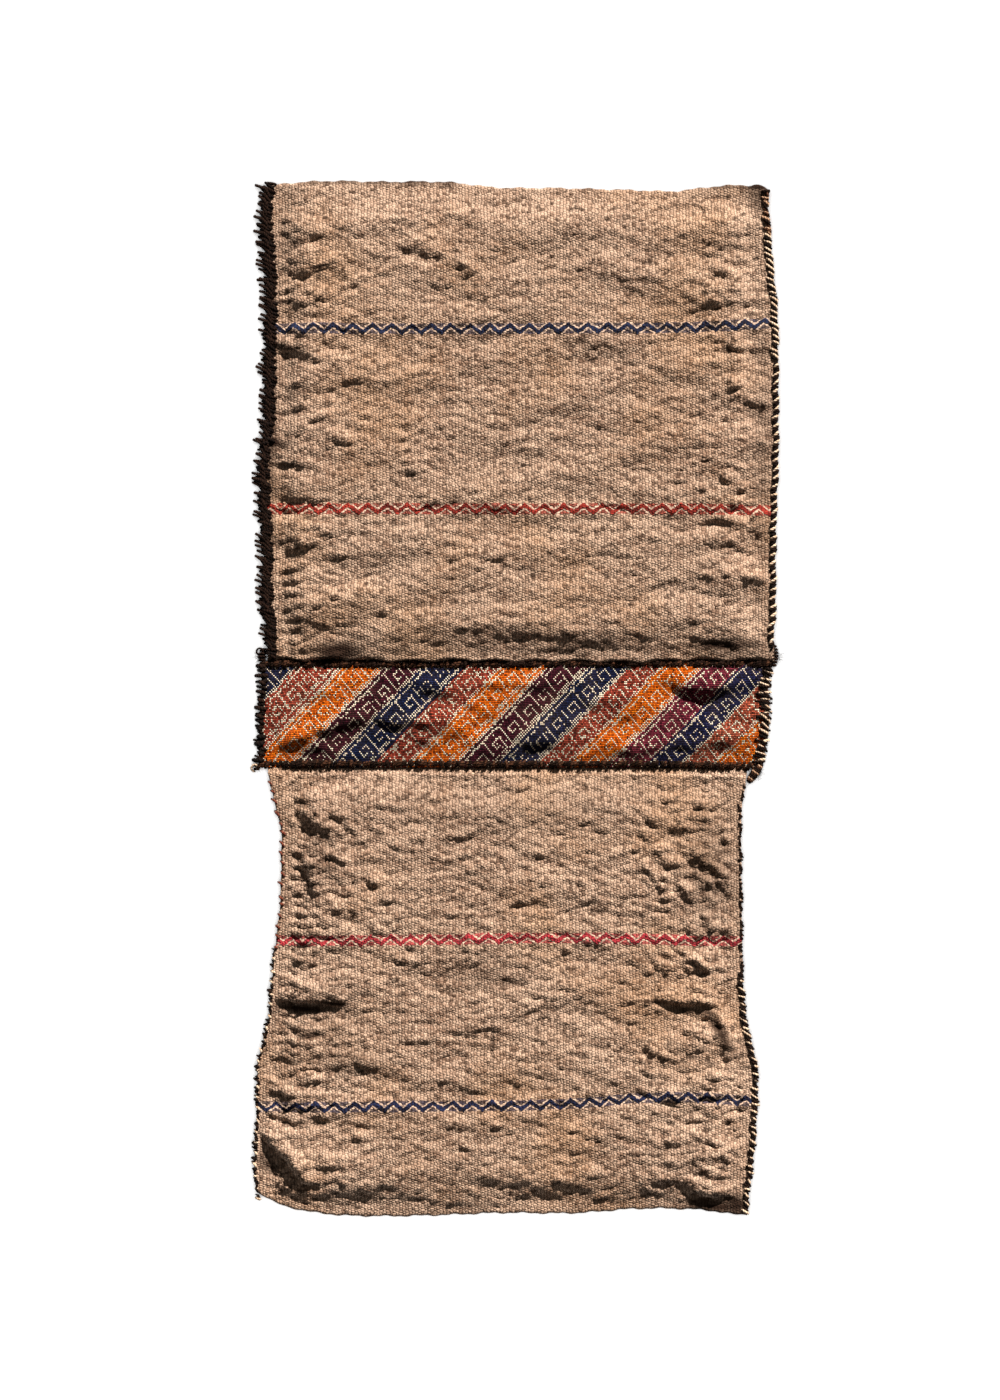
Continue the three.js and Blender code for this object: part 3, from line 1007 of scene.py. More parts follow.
@dataclass(frozen=True)
class Bridge:
    """The brocaded panel between the pouches, one layer of cloth."""

    edges: tuple[tuple[float, float, float], ...]
    ends: tuple[float, float]  # Y of its upper and lower end
    stripes: tuple[Stripe, ...]
    folds: tuple[Fold, ...]
    ripples: tuple[Ripple, ...]
    flat: tuple[float, float]
    thickness: float = 2.8
    crown: float = 4.4  # how high the slack cloth stands between its seams
    step_across: float = 1.4
    step_along: float = 1.55

    def chart(self, across: int, along: int) -> Array:
        """Gives the dye of every weaving step, as a linear colour.

        With i steps from the left and j down from the top, half of i + j counts diagonal steps across
        the stripes, and half of i - j counts them along. Steps where i + j is odd lie between two
        diagonals: they stay in the stripe's own dye, but for the speckled ground beside the hooks.

        Args:
            across: steps from side to side.
            along: steps from end to end.

        Returns:
            (across, along, 4) colours.
        """
        i, j = np.meshgrid(np.arange(across), np.arange(along), indexing="ij")
        a, b = (i + j) // 2, (i - j) // 2
        between = (i + j) % 2 == 1
        starts = np.cumsum([0] + [s.width for s in self.stripes])
        which = np.clip(np.searchsorted(starts, a, side="right") - 1, 0, len(self.stripes) - 1)
        widths = np.array([s.width for s in self.stripes])[which]
        local = a - starts[which]
        border = np.minimum(widths - len(HOOK), 3)
        row = local - border
        hook = np.array([[c == "#" for c in line] for line in HOOK])
        inside = (row >= 0) & (row < len(HOOK))
        on_hook = inside & hook[np.clip(row, 0, len(HOOK) - 1), (b + 4 * which) % len(HOOK)]
        ruled = np.isin(row, (-3, -1, len(HOOK), len(HOOK) + 2))
        rng = np.random.default_rng(31)
        slip = rng.random(a.shape)  # where the weaver's count or the wear breaks the pattern
        cream = (~between & (on_hook | ruled) & (slip > 0.12)) | (~inside & between & (slip > 0.78))
        pale = np.array([s.paleness for s in self.stripes])[which]
        cream |= inside & between & (slip > 1 - pale)
        dyes = np.array([linear(s.dye.value) for s in self.stripes])[which]
        dyes = dyes * np.clip(rng.normal(0.95, 0.45, a.shape), 0.12, 2.2)[..., None]
        evenness = np.clip(rng.normal(1.0, 0.15, a.shape), 0.5, 1.2)
        ground = np.array(linear(Dye.CREAM.value)) * evenness[..., None]
        colours = np.clip(np.where(cream[..., None], ground, dyes), 0, 1)
        colours[..., 3] = 1
        return colours

    def left(self, y: Array) -> Array:
        """Gives the left side edge's x at y."""
        return curve_through([(e[0], e[1]) for e in self.edges])(y)

    def right(self, y: Array) -> Array:
        """Gives the right side edge's x at y."""
        return curve_through([(e[0], e[2]) for e in self.edges])(y)

    def top(self, x: Array, y: Array) -> Array:
        """Gives the height of the panel's upper face."""
        return self.height(x, y) + self.thickness / 2

    def height(self, x: Array, y: Array) -> Array:
        """Gives the height of the panel's middle: lifted at its sides, and gently lumpy.

        Folds and ripples fade towards the sides and the ends. Where they would press the panel through
        the surface, it levels off as half of (h + sqrt(h^2 + 1.5)).

        Args:
            x: places across the panel.
            y: places along it.

        Returns:
            The heights.
        """
        inside = np.minimum(x - self.left(y), self.right(y) - x)
        from_end = np.minimum(self.ends[0] - y, y - self.ends[1])
        relief = sum(f.at(x, y) for f in self.folds) + sum(r.at(x, y) for r in self.ripples)
        side_share = 0.2 + 0.8 * ease(inside, 2, 22)
        end_share = 0.12 + 0.88 * ease(from_end, 0, 21)
        relief = (relief + self.crown) * side_share * end_share
        pressed = (relief + np.sqrt(relief * relief + 1.5)) / 2
        return edge_lift(inside) + self.thickness / 2 + pressed

    def build(self) -> bpy.types.Object:
        """Builds the panel on a grid that keeps to the weaving steps.

        Returns:
            The panel, with the dye of each step on its faces.
        """
        _, first_left, first_right = self.edges[0]
        across = int(round((first_right - first_left) / self.step_across))
        along = int(round((self.ends[0] - self.ends[1]) / self.step_along))
        u = np.linspace(0, 1, across + 1)[None, :]
        y = np.linspace(self.ends[0], self.ends[1], along + 1)[:, None] + 0 * u
        left, right = self.left(y), self.right(y)
        x = left + (right - left) * u
        middle = np.stack([x, y, self.height(x, y)], -1)
        wefts = np.linspace(0, along * self.step_along, along + 1)[:, None]
        place = np.stack(np.broadcast_arrays(u * across * self.step_across, wefts), -1)
        made = cloth_object("bridge_brocade", middle, place * MM, self.thickness)
        one_side = self.chart(across, along).transpose(1, 0, 2).reshape(-1, 4)
        rim = np.tile(np.array(linear(Dye.DARK.value)), (len(made.data.polygons) - 2 * len(one_side), 1))
        paint_faces(made, np.concatenate([one_side, one_side, rim]))
        return made

    def make(self, wardrobe: Wardrobe) -> bpy.types.Object:
        """Builds, dresses and hands in the panel.

        Args:
            wardrobe: which holds the finishes.

        Returns:
            The piece.
        """
        made = self.build()
        wardrobe.dress(made, Brocade("wool_brocade", self.step_across, self.step_along))
        hand_in(made, "bridge_panel")
        return made


# ---------------------------------------------------------------------------------------------
# yarn
# ---------------------------------------------------------------------------------------------
@dataclass(frozen=True)
class Overcast:
    """One run of overcast stitches round a side edge.

    A stitch starts in the cloth on top, goes out over the edge, and comes back underneath.
    """

    side: int  # -1 for the left edge, +1 for the right
    start: float  # Y where the run begins
    end: float
    pitch: float
    yarns: tuple[Yarn, ...]
    reach_in: float = 9.0
    reach_out: float = 3.0
    radius: float = 1.3
    slant: float = 3.0  # how much higher in Y a stitch's outer end is than its inner end
    uneven: float = 0.35
    seed: int = 1


@dataclass(frozen=True)
class SideSeam:
    """All the overcast stitches of one side edge of one cloth."""

    name: str
    node: str
    slot: str
    runs: tuple[Overcast, ...]
    edge: Curve  # x of the cloth's edge at y
    top: Callable[[Array, Array], Array]  # height of the cloth's upper face at (x, y)

    def make(self, wardrobe: Wardrobe) -> bpy.types.Object:
        """Builds the stitches of every run, yarn by yarn, as one piece.

        Args:
            wardrobe: which holds the finishes.

        Returns:
            The piece.
        """
        paths: dict[Yarn, list[Array]] = {}
        radii: dict[Yarn, list[Array]] = {}
        for run in self.runs:
            path, radius = self.stitches(run)
            for k, yarn in enumerate(run.yarns):
                paths.setdefault(yarn, []).append(path[k :: len(run.yarns)])
                radii.setdefault(yarn, []).append(radius[k :: len(run.yarns)])
        parts = []
        for yarn in paths:
            part = tubes_object(self.name, np.concatenate(paths[yarn]), np.concatenate(radii[yarn]))
            wardrobe.dress(part, yarn.value)
            parts.append(part)
        return hand_in(joined(self.name, parts), self.node)

    def stitches(self, run: Overcast) -> tuple[Array, Array]:
        """Gives the path and radius of every stitch of a run.

        A stitch has eight points: two in the cloth on top, up and over, at the edge, out beyond it, and
        three back underneath. The slant moves each along Y by its share.

        Args:
            run: the run of stitches.

        Returns:
            (stitches, 8, 3) positions, and (stitches, 8) radii.
        """
        rng = np.random.default_rng(run.seed)
        count = max(2, int(round(abs(run.end - run.start) / run.pitch)))
        y = np.linspace(run.start, run.end, count) + rng.normal(0, run.uneven * run.pitch * 0.35, count)
        reach = run.reach_in * (1 + rng.normal(0, run.uneven * 0.3, count))
        out = run.reach_out * (1 + rng.normal(0, run.uneven, count)).clip(0.4, 2.0)
        radius = run.radius * (1 + rng.normal(0, run.uneven * 0.25, count))
        slant = run.slant * (1 + rng.normal(0, run.uneven, count))
        y, reach, out, radius, slant = (value[:, None] for value in (y, reach, out, radius, slant))
        # Each point's share of the reach in and of the reach out, and what it lies further in.
        inward = np.array([1, 1, 0.5, 0, 0, 0, 0.3, 0.6])
        beyond = np.array([0, 0, 0, 0, 1, 0.4, 0, 0])
        outward = out * beyond - reach * inward + np.array([0, 1.2, 0, 0, 0, 0, 0, 0])
        path_y = y + slant * (np.array([0.0, 0.10, 0.35, 0.7, 1.0, 0.8, 0.4, 0.1]) - 0.5)
        edge = self.edge(path_y)
        surface = self.top(edge + run.side * np.minimum(outward, -0.5), path_y)
        # Each point's share of the cloth's height and of the radius, and what it lies higher.
        held = np.array([1, 1, 1, 1, 0.5, 0, 0, 0])
        over = np.array([0, 0.4, 0.8, 0.5, 0, 1, 1, 1])
        more = np.array([-0.8, 0, 0, 0, 0.5, 0.35, 0.05, 0.05])
        z = np.maximum(surface * held + radius * over + more, radius + 0.05)
        taper = np.array([0.55, 0.9, 1.05, 1.0, 0.85, 0.95, 0.9, 0.5])
        return np.stack([edge + run.side * outward, path_y, z], -1), radius * taper


def joined(name: str, parts: Sequence[bpy.types.Object]) -> bpy.types.Object:
    """Joins objects into the first of them.

    Args:
        name: the object's name.
        parts: the objects, of which the first is kept.

    Returns:
        The first object.
    """
    first = parts[0]
    meshes = [part.data for part in parts[1:]]
    if meshes:
        chosen = {"selected_editable_objects": list(parts), "selected_objects": list(parts)}
        with bpy.context.temp_override(active_object=first, object=first, **chosen):
            bpy.ops.object.join()
    for mesh in meshes:
        bpy.data.meshes.remove(mesh)
    first.name = name
    first.data.name = name
    return first


@dataclass(frozen=True)
class JoinSeam:
    """The hairy dark yarn that sews one end of the bridge to a pouch: thick overcast loops side by side."""

    name: str
    node: str
    line: tuple[tuple[float, float], ...]  # (x, y) of the middle of the seam
    half_width: float = 3.2
    height: float = 6.0
    pitch: float = 2.5
    yarn: float = 1.45  # radius of the yarn
    seed: int = 5
    yarns: tuple[Yarn, Yarn] = (Yarn.UMBER, Yarn.DARK)

    def make(self, wardrobe: Wardrobe) -> bpy.types.Object:
        """Builds the loops and their loose hairs as one piece.

        A loop is an arch across the seam: half its width times the cosine, and its height times the
        sine, of an angle that goes a little past both ends of a half turn.

        Args:
            wardrobe: which holds the finishes.

        Returns:
            The piece.
        """
        rng = np.random.default_rng(self.seed)
        ends = self.line[0][0], self.line[-1][0]
        count = int((ends[1] - ends[0]) / self.pitch)
        x = np.linspace(*ends, count) + rng.normal(0, 0.3, count)
        y = curve_through(self.line)(x)
        angle = np.linspace(-0.35, math.pi + 0.35, 7)
        half = self.half_width * (1 + rng.normal(0, 0.2, count))[:, None]
        lean = 1.4 + rng.normal(0, 1.1, count)[:, None]
        high = self.height + rng.normal(0, 0.75, count)[:, None]
        inside = np.minimum(x - ends[0], ends[1] - x)
        base = edge_lift(inside + 2)[:, None]
        path = np.stack(
            [
                x[:, None] + lean * np.cos(angle),
                y[:, None] + half * np.cos(angle),
                base + 1.6 + (high - 3.0) * np.sin(angle),
            ],
            -1,
        )
        size = self.yarn * (1 + rng.normal(0, 0.15, (count, 1))) * np.array([0.7, 1, 1, 1, 1, 1, 0.7])
        top = np.stack([x, y, (base + high - 0.6)[:, 0]], -1)
        parts = []
        dark = rng.random(count) < 0.55
        for yarn, some in zip(self.yarns, (~dark, dark)):
            loops = tubes_object(self.name, path[some], size[some])
            fuzz = hairs(self.name, np.repeat(top[some], 8, 0), 4.0, 4.5, self.seed + len(parts))
            for part in (loops, fuzz):
                wardrobe.dress(part, yarn.value)
                parts.append(part)
        return hand_in(joined(self.name, parts), self.node)


def hairs(
    name: str, roots: Array, spread: float, length: float, seed: int, outward: Array | None = None
) -> bpy.types.Object:
    """Makes loose hairs: thin three-sided tubes of four rings that curl away from their roots.

    Args:
        name: the object's name.
        roots: (n, 3) points to grow from.
        spread: how far a root may lie from its point.
        length: of a usual hair.
        seed: for the random numbers.
        outward: the direction in which hairs lean, if any.

    Returns:
        The object.
    """
    rng = np.random.default_rng(seed)
    count = len(roots)
    start = roots + rng.normal(0, spread / 3, (count, 3)) * np.array([1, 1, 0.3])
    way = rng.normal(0, 1, (count, 3)) * np.array([1.0, 1.0, 0.45])
    if outward is not None:
        way = way + outward
    way = unit(way)
    bend = unit(rng.normal(0, 1, (count, 3)))
    size = length * rng.uniform(0.4, 1.2, count)[:, None]
    steps = np.linspace(0, 1, 4)
    path = start[:, None, :] + size[:, None, :] * (
        way[:, None, :] * steps[None, :, None] + 0.3 * bend[:, None, :] * steps[None, :, None] ** 2
    )
    path[..., 2] = np.maximum(path[..., 2], 0.3)
    radii = np.full((count, 1), 0.16) * np.array([1.0, 0.85, 0.6, 0.25])[None, :]
    return tubes_object(name, path, radii, sides=3)


@dataclass(frozen=True)
class CornerKnot:
    """The wrapped end of a side seam at a corner of a mouth: turns of yarn, a loop and loose hairs."""

    name: str
    node: str
    centre: tuple[float, float, float]
    along: tuple[float, float]  # direction of its length
    length: float
    turns: int
    radius: float
    yarns: tuple[Yarn, ...]
    loop: float = 0.0  # radius of the loop that stands out of it
    loop_at: tuple[float, float, float] = (0.0, 0.0, 0.0)
    tuft: int = 60
    seed: int = 3

    def make(self, wardrobe: Wardrobe) -> bpy.types.Object:
        """Builds rings of yarn side by side along the knot, then the loop and the hairs.

        The rings' radius swells to the middle as sqrt(1 - (1.7 p)^2), for p from -0.5 to 0.5.

        Args:
            wardrobe: which holds the finishes.

        Returns:
            The piece.
        """
        rng = np.random.default_rng(self.seed)
        ax = np.array([*self.along, 0.0]) / math.hypot(*self.along)
        across = np.array([ax[1], -ax[0], 0.0])
        up = np.array([0.0, 0.0, 1.0])
        centre = np.array(self.centre)
        angle = np.linspace(0, 2 * math.pi, 11)[None, :]
        place = np.linspace(-0.5, 0.5, self.turns)[:, None]
        swell = np.sqrt(np.clip(1 - (1.7 * place) ** 2, 0.2, 1))
        size = self.radius * swell * (1 + rng.normal(0, 0.08, place.shape))
        path = (
            centre
            + (place * self.length + 0.35 * np.sin(angle))[..., None] * ax
            + (size * np.cos(angle))[..., None] * across
            + (size * 0.9 * np.sin(angle))[..., None] * up
        )
        path[..., 2] = np.maximum(path[..., 2], 1.0)
        parts = []
        for k, yarn in enumerate(self.yarns):
            some = path[k :: len(self.yarns)]
            part = tubes_object(self.name, some, np.full(some.shape[:2], 1.15))
            wardrobe.dress(part, yarn.value)
            parts.append(part)
        if self.loop:
            ring = np.linspace(-0.3, 2 * math.pi - 1.2, 14)
            at = np.array(self.loop_at)
            around = at + self.loop * np.stack([np.cos(ring), np.sin(ring), 0.25 * np.sin(ring)], -1)
            part = tubes_object(self.name, around[None], np.full((1, 14), 0.95))
            wardrobe.dress(part, self.yarns[-1].value)
            parts.append(part)
        spread = np.array([self.radius, self.radius, 1.0])
        roots = centre + rng.normal(0, 1, (self.tuft, 3)) * spread * 0.7
        outward = np.array([np.sign(self.centre[0]) * 0.7, 0.0, 0.3])
        tuft = hairs(self.name, roots, 1.0, 6.0, self.seed, outward)
        wardrobe.dress(tuft, self.yarns[0].value)
        parts.append(tuft)
        return hand_in(joined(self.name, parts), self.node)


# ---------------------------------------------------------------------------------------------
# studio
# ---------------------------------------------------------------------------------------------
@dataclass(frozen=True)
class Studio:
    """A pale floor, a low key light from the bag's upper end, and a camera straight above."""

    camera_height: float = 3000.0
    view: tuple[float, float] = (950.0, 1330.0)  # what the camera takes in, at the bag
    aim: tuple[float, float, float] = (-15.1, -1.0, 10.0)
    key_angle: float = 27.0  # above the surface
    key_turn: float = 24.0  # from +Y towards +X
    key_strength: float = 9.2
    floor_light_strength: float = 3.7
    sky_strength: float = 0.10
    paper: str = "#f6f6f6"
    floor_reach: float = 6000.0  # from the middle to each side
    floor_level: float = -0.3  # under the lowest strand, so that nothing sinks into it

    def build(self) -> None:
        """Builds floor, lights, world and camera."""
        scene = bpy.context.scene
        floor = self._floor()
        key = self._sun("key_light", "#fff1e4", self.key_strength, 2.0, self.key_angle, self.key_turn)
        lamp = self._sun("floor_light", "#ffffff", self.floor_light_strength, 70.0, 88.0, 0.0)
        bag_only = bpy.data.collections.new("lit_by_key")
        floor_only = bpy.data.collections.new("lit_by_floor_light")
        for collection in (bag_only, floor_only):
            collection.objects.link(floor)
        key.light_linking.receiver_collection = bag_only
        bag_only.collection_objects[0].light_linking.link_state = "EXCLUDE"
        lamp.light_linking.receiver_collection = floor_only
        world = bpy.data.worlds.new("soft_room")
        world.use_nodes = True
        sky = world.node_tree.nodes["Background"]
        sky.inputs["Color"].default_value = linear("#fff4ea")
        sky.inputs["Strength"].default_value = self.sky_strength
        scene.world = world
        scene.view_settings.view_transform = "Standard"
        scene.camera = self._camera()

    def _floor(self) -> bpy.types.Object:
        """Makes the floor: one flat square that fills the view, just below the bag.

        Returns:
            The floor.
        """
        side, level = self.floor_reach, self.floor_level
        around = ((-side, -side), (side, -side), (side, side), (-side, side))
        corners = np.array([(x, y, level) for x, y in around])
        mesh = bpy.data.meshes.new("floor")
        mesh.from_pydata((corners * MM).tolist(), [], [(0, 1, 2, 3)])
        floor = bpy.data.objects.new("floor", mesh)
        bpy.context.scene.collection.objects.link(floor)
        g = Graph.named("white_paper")
        paper = {"Base Color": linear(self.paper), "Roughness": 0.9}
        g.add("OutputMaterial", {"Surface": g.add("BsdfPrincipled", paper)})
        mesh.materials.append(g.material)
        return floor

    def _sun(
        self, name: str, colour: str, strength: float, spread: float, above: float, turn: float
    ) -> bpy.types.Object:
        """Makes a distant light.

        Args:
            name: the light's name.
            colour: its hex colour.
            strength: in watts a square metre.
            spread: how wide it looks, in degrees. A wide one gives soft shadows.
            above: degrees above the surface.
            turn: degrees from +Y towards +X.

        Returns:
            The light.
        """
        light = bpy.data.lights.new(name, "SUN")
        light.energy = strength
        light.angle = math.radians(spread)
        light.color = linear(colour)[:3]
        made = bpy.data.objects.new(name, light)
        made.rotation_euler = (math.radians(-(90 - above)), 0.0, math.radians(-turn))
        bpy.context.scene.collection.objects.link(made)
        return made

    def _camera(self) -> bpy.types.Object:
        """Makes the camera: its lens takes in the view's height at the distance of the bag.

        Returns:
            The camera.
        """
        data = bpy.data.cameras.new("camera")
        data.sensor_width = 36.0
        data.lens = data.sensor_width * (self.camera_height - self.aim[2]) / self.view[1]
        data.clip_end = 20.0
        made = bpy.data.objects.new("camera", data)
        made.location = (self.aim[0] * MM, self.aim[1] * MM, self.camera_height * MM)
        bpy.context.scene.collection.objects.link(made)
        return made


# ---------------------------------------------------------------------------------------------
# the bag
# ---------------------------------------------------------------------------------------------
UPPER = Pouch(
    name="upper_pouch",
    node="upper_pouch_cloth",
    away=1,
    join=34.0,
    edges=(
        (35, -236.5, 246), (52, -235, 244.5), (90, -238.5, 246), (147, -239, 246), (185, -240.5, 247),
        (223, -242, 248.5), (261, -237.5, 248.5), (318, -236.5, 248.5), (375, -235.5, 247.5),
        (413, -236.5, 243.5), (451, -239.5, 241), (474, -239.5, 239.5), (490, -235.5, 240),
    ),
    fold=(
        (-238, 485), (-229, 489), (-205, 492), (-130, 492.5), (-58, 491.5), (-25, 487.5), (37, 486.5),
        (113, 484.5), (151, 483.5), (189, 488), (222, 489), (235, 487.5), (240, 483),
    ),
    mouth=(
        (-237, 38), (-200, 36), (-170, 37), (-140, 35.5), (-100, 34.5), (-60, 35.5), (0, 34.5),
        (60, 34.5), (120, 34.0), (160, 36.0), (200, 35.5), (246, 35.5),
    ),
    folds=(
        Fold((-208, 407), (-165, 417), 2.4, 8, 2.0, 1.5), Fold((-112, 432), (-60, 416), 3.0, 12, 4, -3),
        Fold((-62, 414), (-38, 405), 3.4, 10, 3.5), Fold((-240, 341), (-177, 322), 3.0, 9, 2.4),
        Fold((-200, 268), (-174, 264), 2.6, 7, 3), Fold((-238, 230), (-184, 219), 3.2, 9, 2.4),
        Fold((-108, 220), (-80, 218), 2.4, 7, 3), Fold((186, 408), (206, 405), 4.0, 9, 3.5),
        Fold((198, 340), (218, 337), 3.0, 7, 3), Fold((198, 318), (218, 316), 3.0, 7, 3),
        Fold((198, 299), (218, 297), 3.0, 7, 3),
    ),
    puckers=(
        Puckers((168, 110), (236, 410), 60, -8, (14, 30), (1.0, 2.1), 81),
        Puckers((-232, 60), (-150, 450), 60, 6, (14, 34), (0.8, 1.8), 82),
        Puckers((-140, 60), (160, 470), 110, 0, (10, 24), (0.5, 1.4), 83),
    ),
    ripples=(
        (Ripple(45, 16, 0.6, 11, steepen=1.4), 0.5, 0.8),
        (Ripple(140, 45, 1.4, 12), 0.6, 0.9),
        (Ripple(15, 8, 0.55, 13, steepen=1.2), 0.8, 1.3),
    ),
    rows_drawn=(
        (352.0, ((-248, 351.5), (-100, 351), (100, 351.5), (180, 352.5), (248, 357))),
        (181.0, ((-248, 180.5), (0, 180), (150, 180), (248, 178.5))),
    ),
    flat=(0.495, 0.92),
    finish=HandspunWool(
        "handspun_wool_upper",
        bands=(
            Band(352.0, "#202d4e", "#0b0f1e", 0.13), Band(181.0, "#a6382e", "#5c1c18", 0.37),
        ),
        # Darkened patches. The thin ones along the creases near 410 mm and those under the folds by the
        # left edge are painted shade and shadow; the long one down the left edge is painted shade on the
        # side turned from the light; the wide one over the mouth is painted shade where the front slopes
        # down to it. The rest, and the two along the fold at the top, only darken the cloth.
        patches=(
            Patch((-186, 410.5), (25, 2.6), 1.0, 13), Patch((-50, 411), (18, 2.6), 0.85, -25),
            Patch((-100, 423), (22, 2.6), 0.55, 8), Patch((-60, 493.5), (330, 7), 0.95),
            Patch((140, 488.5), (200, 6.5), 0.9), Patch((-234, 270), (13, 240), 0.62),
            Patch((242, 486), (34, 44), 0.95), Patch((0, 52), (260, 22), 0.16),
            Patch((-170, 45), (44, 17), 1.0), Patch((194, 51), (46, 9), 0.75, 2),
            Patch((-222, 440), (30, 80), 0.22), Patch((-224, 377), (22, 4), 0.9, 3),
            Patch((-217, 334), (26, 5), 0.85, -12), Patch((-226, 243), (24, 8), 0.8, -5),
            Patch((-212, 222), (32, 4), 0.65, -6), Patch((-222, 150), (24, 5), 0.6, 4),
            Patch((215, 45), (60, 26), 0.4), Patch((233, 250), (20, 190), 0.3),
        ),
    ),
    tuck_depth=2.7,
    tuck_pitch=43.0,
)
LOWER = Pouch(
    name="lower_pouch",
    node="lower_pouch_cloth",
    away=-1,
    join=-64.1,
    edges=(
        (-65, -237, 221), (-84, -232.5, 217.5), (-100, -229.5, 215), (-118, -224, 214),
        (-156, -223, 214.5), (-194, -224, 215), (-251, -231, 215.5), (-308, -236, 219), (-346, -245, 228),
        (-403, -246, 228), (-441, -248.5, 225), (-469, -246, 221.5), (-490, -240, 219.5),
    ),
    fold=(
        (-247, -469), (-229, -480.5), (-210, -486.5), (-180, -491), (-130, -492.5), (-77, -491.5),
        (-20, -489.5), (56, -489.5), (113, -485.5), (151, -485.5), (185, -487.5), (205, -490.5),
        (219, -490.5),
    ),
    mouth=(
        (-236, -68), (-180, -69.5), (-120, -68.5), (-60, -70), (0, -69.5), (60, -70.5), (120, -69.5),
        (180, -71), (220, -71),
    ),
    folds=(
        Fold((-238, -285), (-162, -288), 6.5, 18, 2.0, 0),
        Fold((130, -284), (192, -290), 5.4, 16, 2.0, 0), Fold((196, -292), (204, -348), 5.0, 9, 5),
        Fold((-252, -402), (-194, -462), 7.0, 13, 3.4, -3),
        Fold((160, -464), (214, -471), 4.5, 12, 2.6, 2), Fold((-205, -108), (-176, -124), 3.0, 9, 2.4, 2),
        Fold((-186, -146), (-158, -156), 3.2, 8, 2.4, -2),
        Fold((-200, -150), (-184, -196), 2.6, 8, 2.4, 2), Fold((160, -140), (196, -176), 3.2, 9, 2.6, -3),
        Fold((186, -150), (206, -190), 3.0, 8, 2.4, 2), Fold((148, -104), (200, -96), 2.2, 8, 2.4),
    ),
    puckers=(
        Puckers((-216, -225), (-125, -92), 60, -32, (12, 26), (1.0, 2.1), 91),
        Puckers((120, -262), (206, -92), 85, -34, (12, 26), (1.0, 2.2), 92),
        Puckers((120, -465), (208, -300), 55, -24, (12, 26), (0.9, 2.0), 93),
        Puckers((-236, -465), (-140, -300), 60, -18, (12, 28), (0.9, 2.1), 94),
        Puckers((-125, -475), (130, -90), 150, -10, (9, 22), (0.5, 1.25), 95),
    ),
    ripples=(
        (Ripple(40, 17, 0.65, 21, steepen=1.4), 0.6, 0.8),
        (Ripple(130, 45, 0.9, 22), 0.7, 1.0),
        (Ripple(15, 8, 0.65, 23, steepen=1.2), 0.8, 1.4),
    ),
    rows_drawn=(
        (-229.0, ((-240, -230), (-100, -229), (60, -227), (150, -229), (220, -231))),
        (
            -384.0,
            ((-250, -388), (-100, -387), (0, -386), (60, -384), (120, -379), (165, -378), (225, -383)),
        ),
    ),
    flat=(0.470, 0.87),
    finish=HandspunWool(
        "handspun_wool_lower",
        bands=(
            Band(-229.0, "#b83c46", "#6c2028", 0.21), Band(-384.0, "#202b50", "#0b0f20", 0.05),
        ),
        # Darkened patches. The narrow ones under the folds near -290 mm, the ones at the lower left and
        # lower right corners and the one along the fold by the right edge are painted shadow; the rest only
        # darken the cloth.
        patches=(
            Patch((-176, -296), (50, 62), 0.25), Patch((-205, -294), (44, 7), 0.85, -2),
            Patch((-172, -289), (26, 3), 0.85, -4), Patch((163, -296), (36, 6), 0.75, -4),
            Patch((128, -287), (22, 3), 0.8, -4), Patch((-236, -442), (26, 11), 0.8, -46),
            Patch((-20, -262), (90, 32), 0.18), Patch((-22, -325), (3.0, 42), 0.6),
            Patch((-150, -345), (60, 22), 0.3), Patch((-196, -318), (18, 7), 0.7, 12),
            Patch((194, -317), (42, 10), 0.95, -60), Patch((10, -440), (230, 30), 0.04),
            Patch((0, -100), (300, 44), 0.2), Patch((178, -482), (30, 14), 0.9),
            Patch((210, -482), (34, 22), 1.0), Patch((-186, -150), (36, 60), 0.3),
            Patch((186, -165), (44, 95), 0.5),
        ),
    ),
)
BRIDGE = Bridge(
    edges=(
        (32, -243, 244), (14, -242, 240), (-4, -244, 241), (-24, -244, 240), (-42, -244.5, 238),
        (-64, -245, 235),
    ),
    ends=(34.9, -65.2),
    stripes=(
        Stripe(Dye.NAVY, 13), Stripe(Dye.ROSE, 16, 0.2), Stripe(Dye.ORANGE, 14, 0.08),
        Stripe(Dye.PLUM, 13), Stripe(Dye.NAVY, 15), Stripe(Dye.ROSE, 12, 0.16),
        Stripe(Dye.ORANGE, 16, 0.08), Stripe(Dye.PLUM, 14), Stripe(Dye.NAVY, 14),
        Stripe(Dye.ROSE, 11, 0.16), Stripe(Dye.ORANGE, 14, 0.08), Stripe(Dye.MADDER, 13),
        Stripe(Dye.LILAC, 12), Stripe(Dye.TERRACOTTA, 11, 0.2), Stripe(Dye.ORANGE, 14),
        Stripe(Dye.PLUM, 14),
    ),
    folds=(
        Fold((-225, -42), (-140, -14), 5.5, 16, 7, -2), Fold((-135, -18), (-50, -15), 5.5, 16, 7, 3),
        Fold((150, 10), (240, 22), 6.0, 14, 7, 2), Fold((0, -36), (95, -36), 3.5, 14, 7, 2),
        Fold((125, -40), (235, -34), 3.5, 14, 7, 2), Fold((-40, 18), (30, 12), 1.6, 12, 6),
        Fold((60, -2), (120, 6), 1.8, 12, 6),
    ),
    ripples=(Ripple(90, 40, 1.0, 41), Ripple(30, 18, 0.35, 42)),
    flat=(0.486, 0.100),
)
SPECKLED = (Yarn.BLACK, Yarn.DARK, Yarn.CREAM)
MIXED = (Yarn.WHEAT, Yarn.UMBER, Yarn.WHEAT, Yarn.BROWN, Yarn.DARK)  # at the mended corner
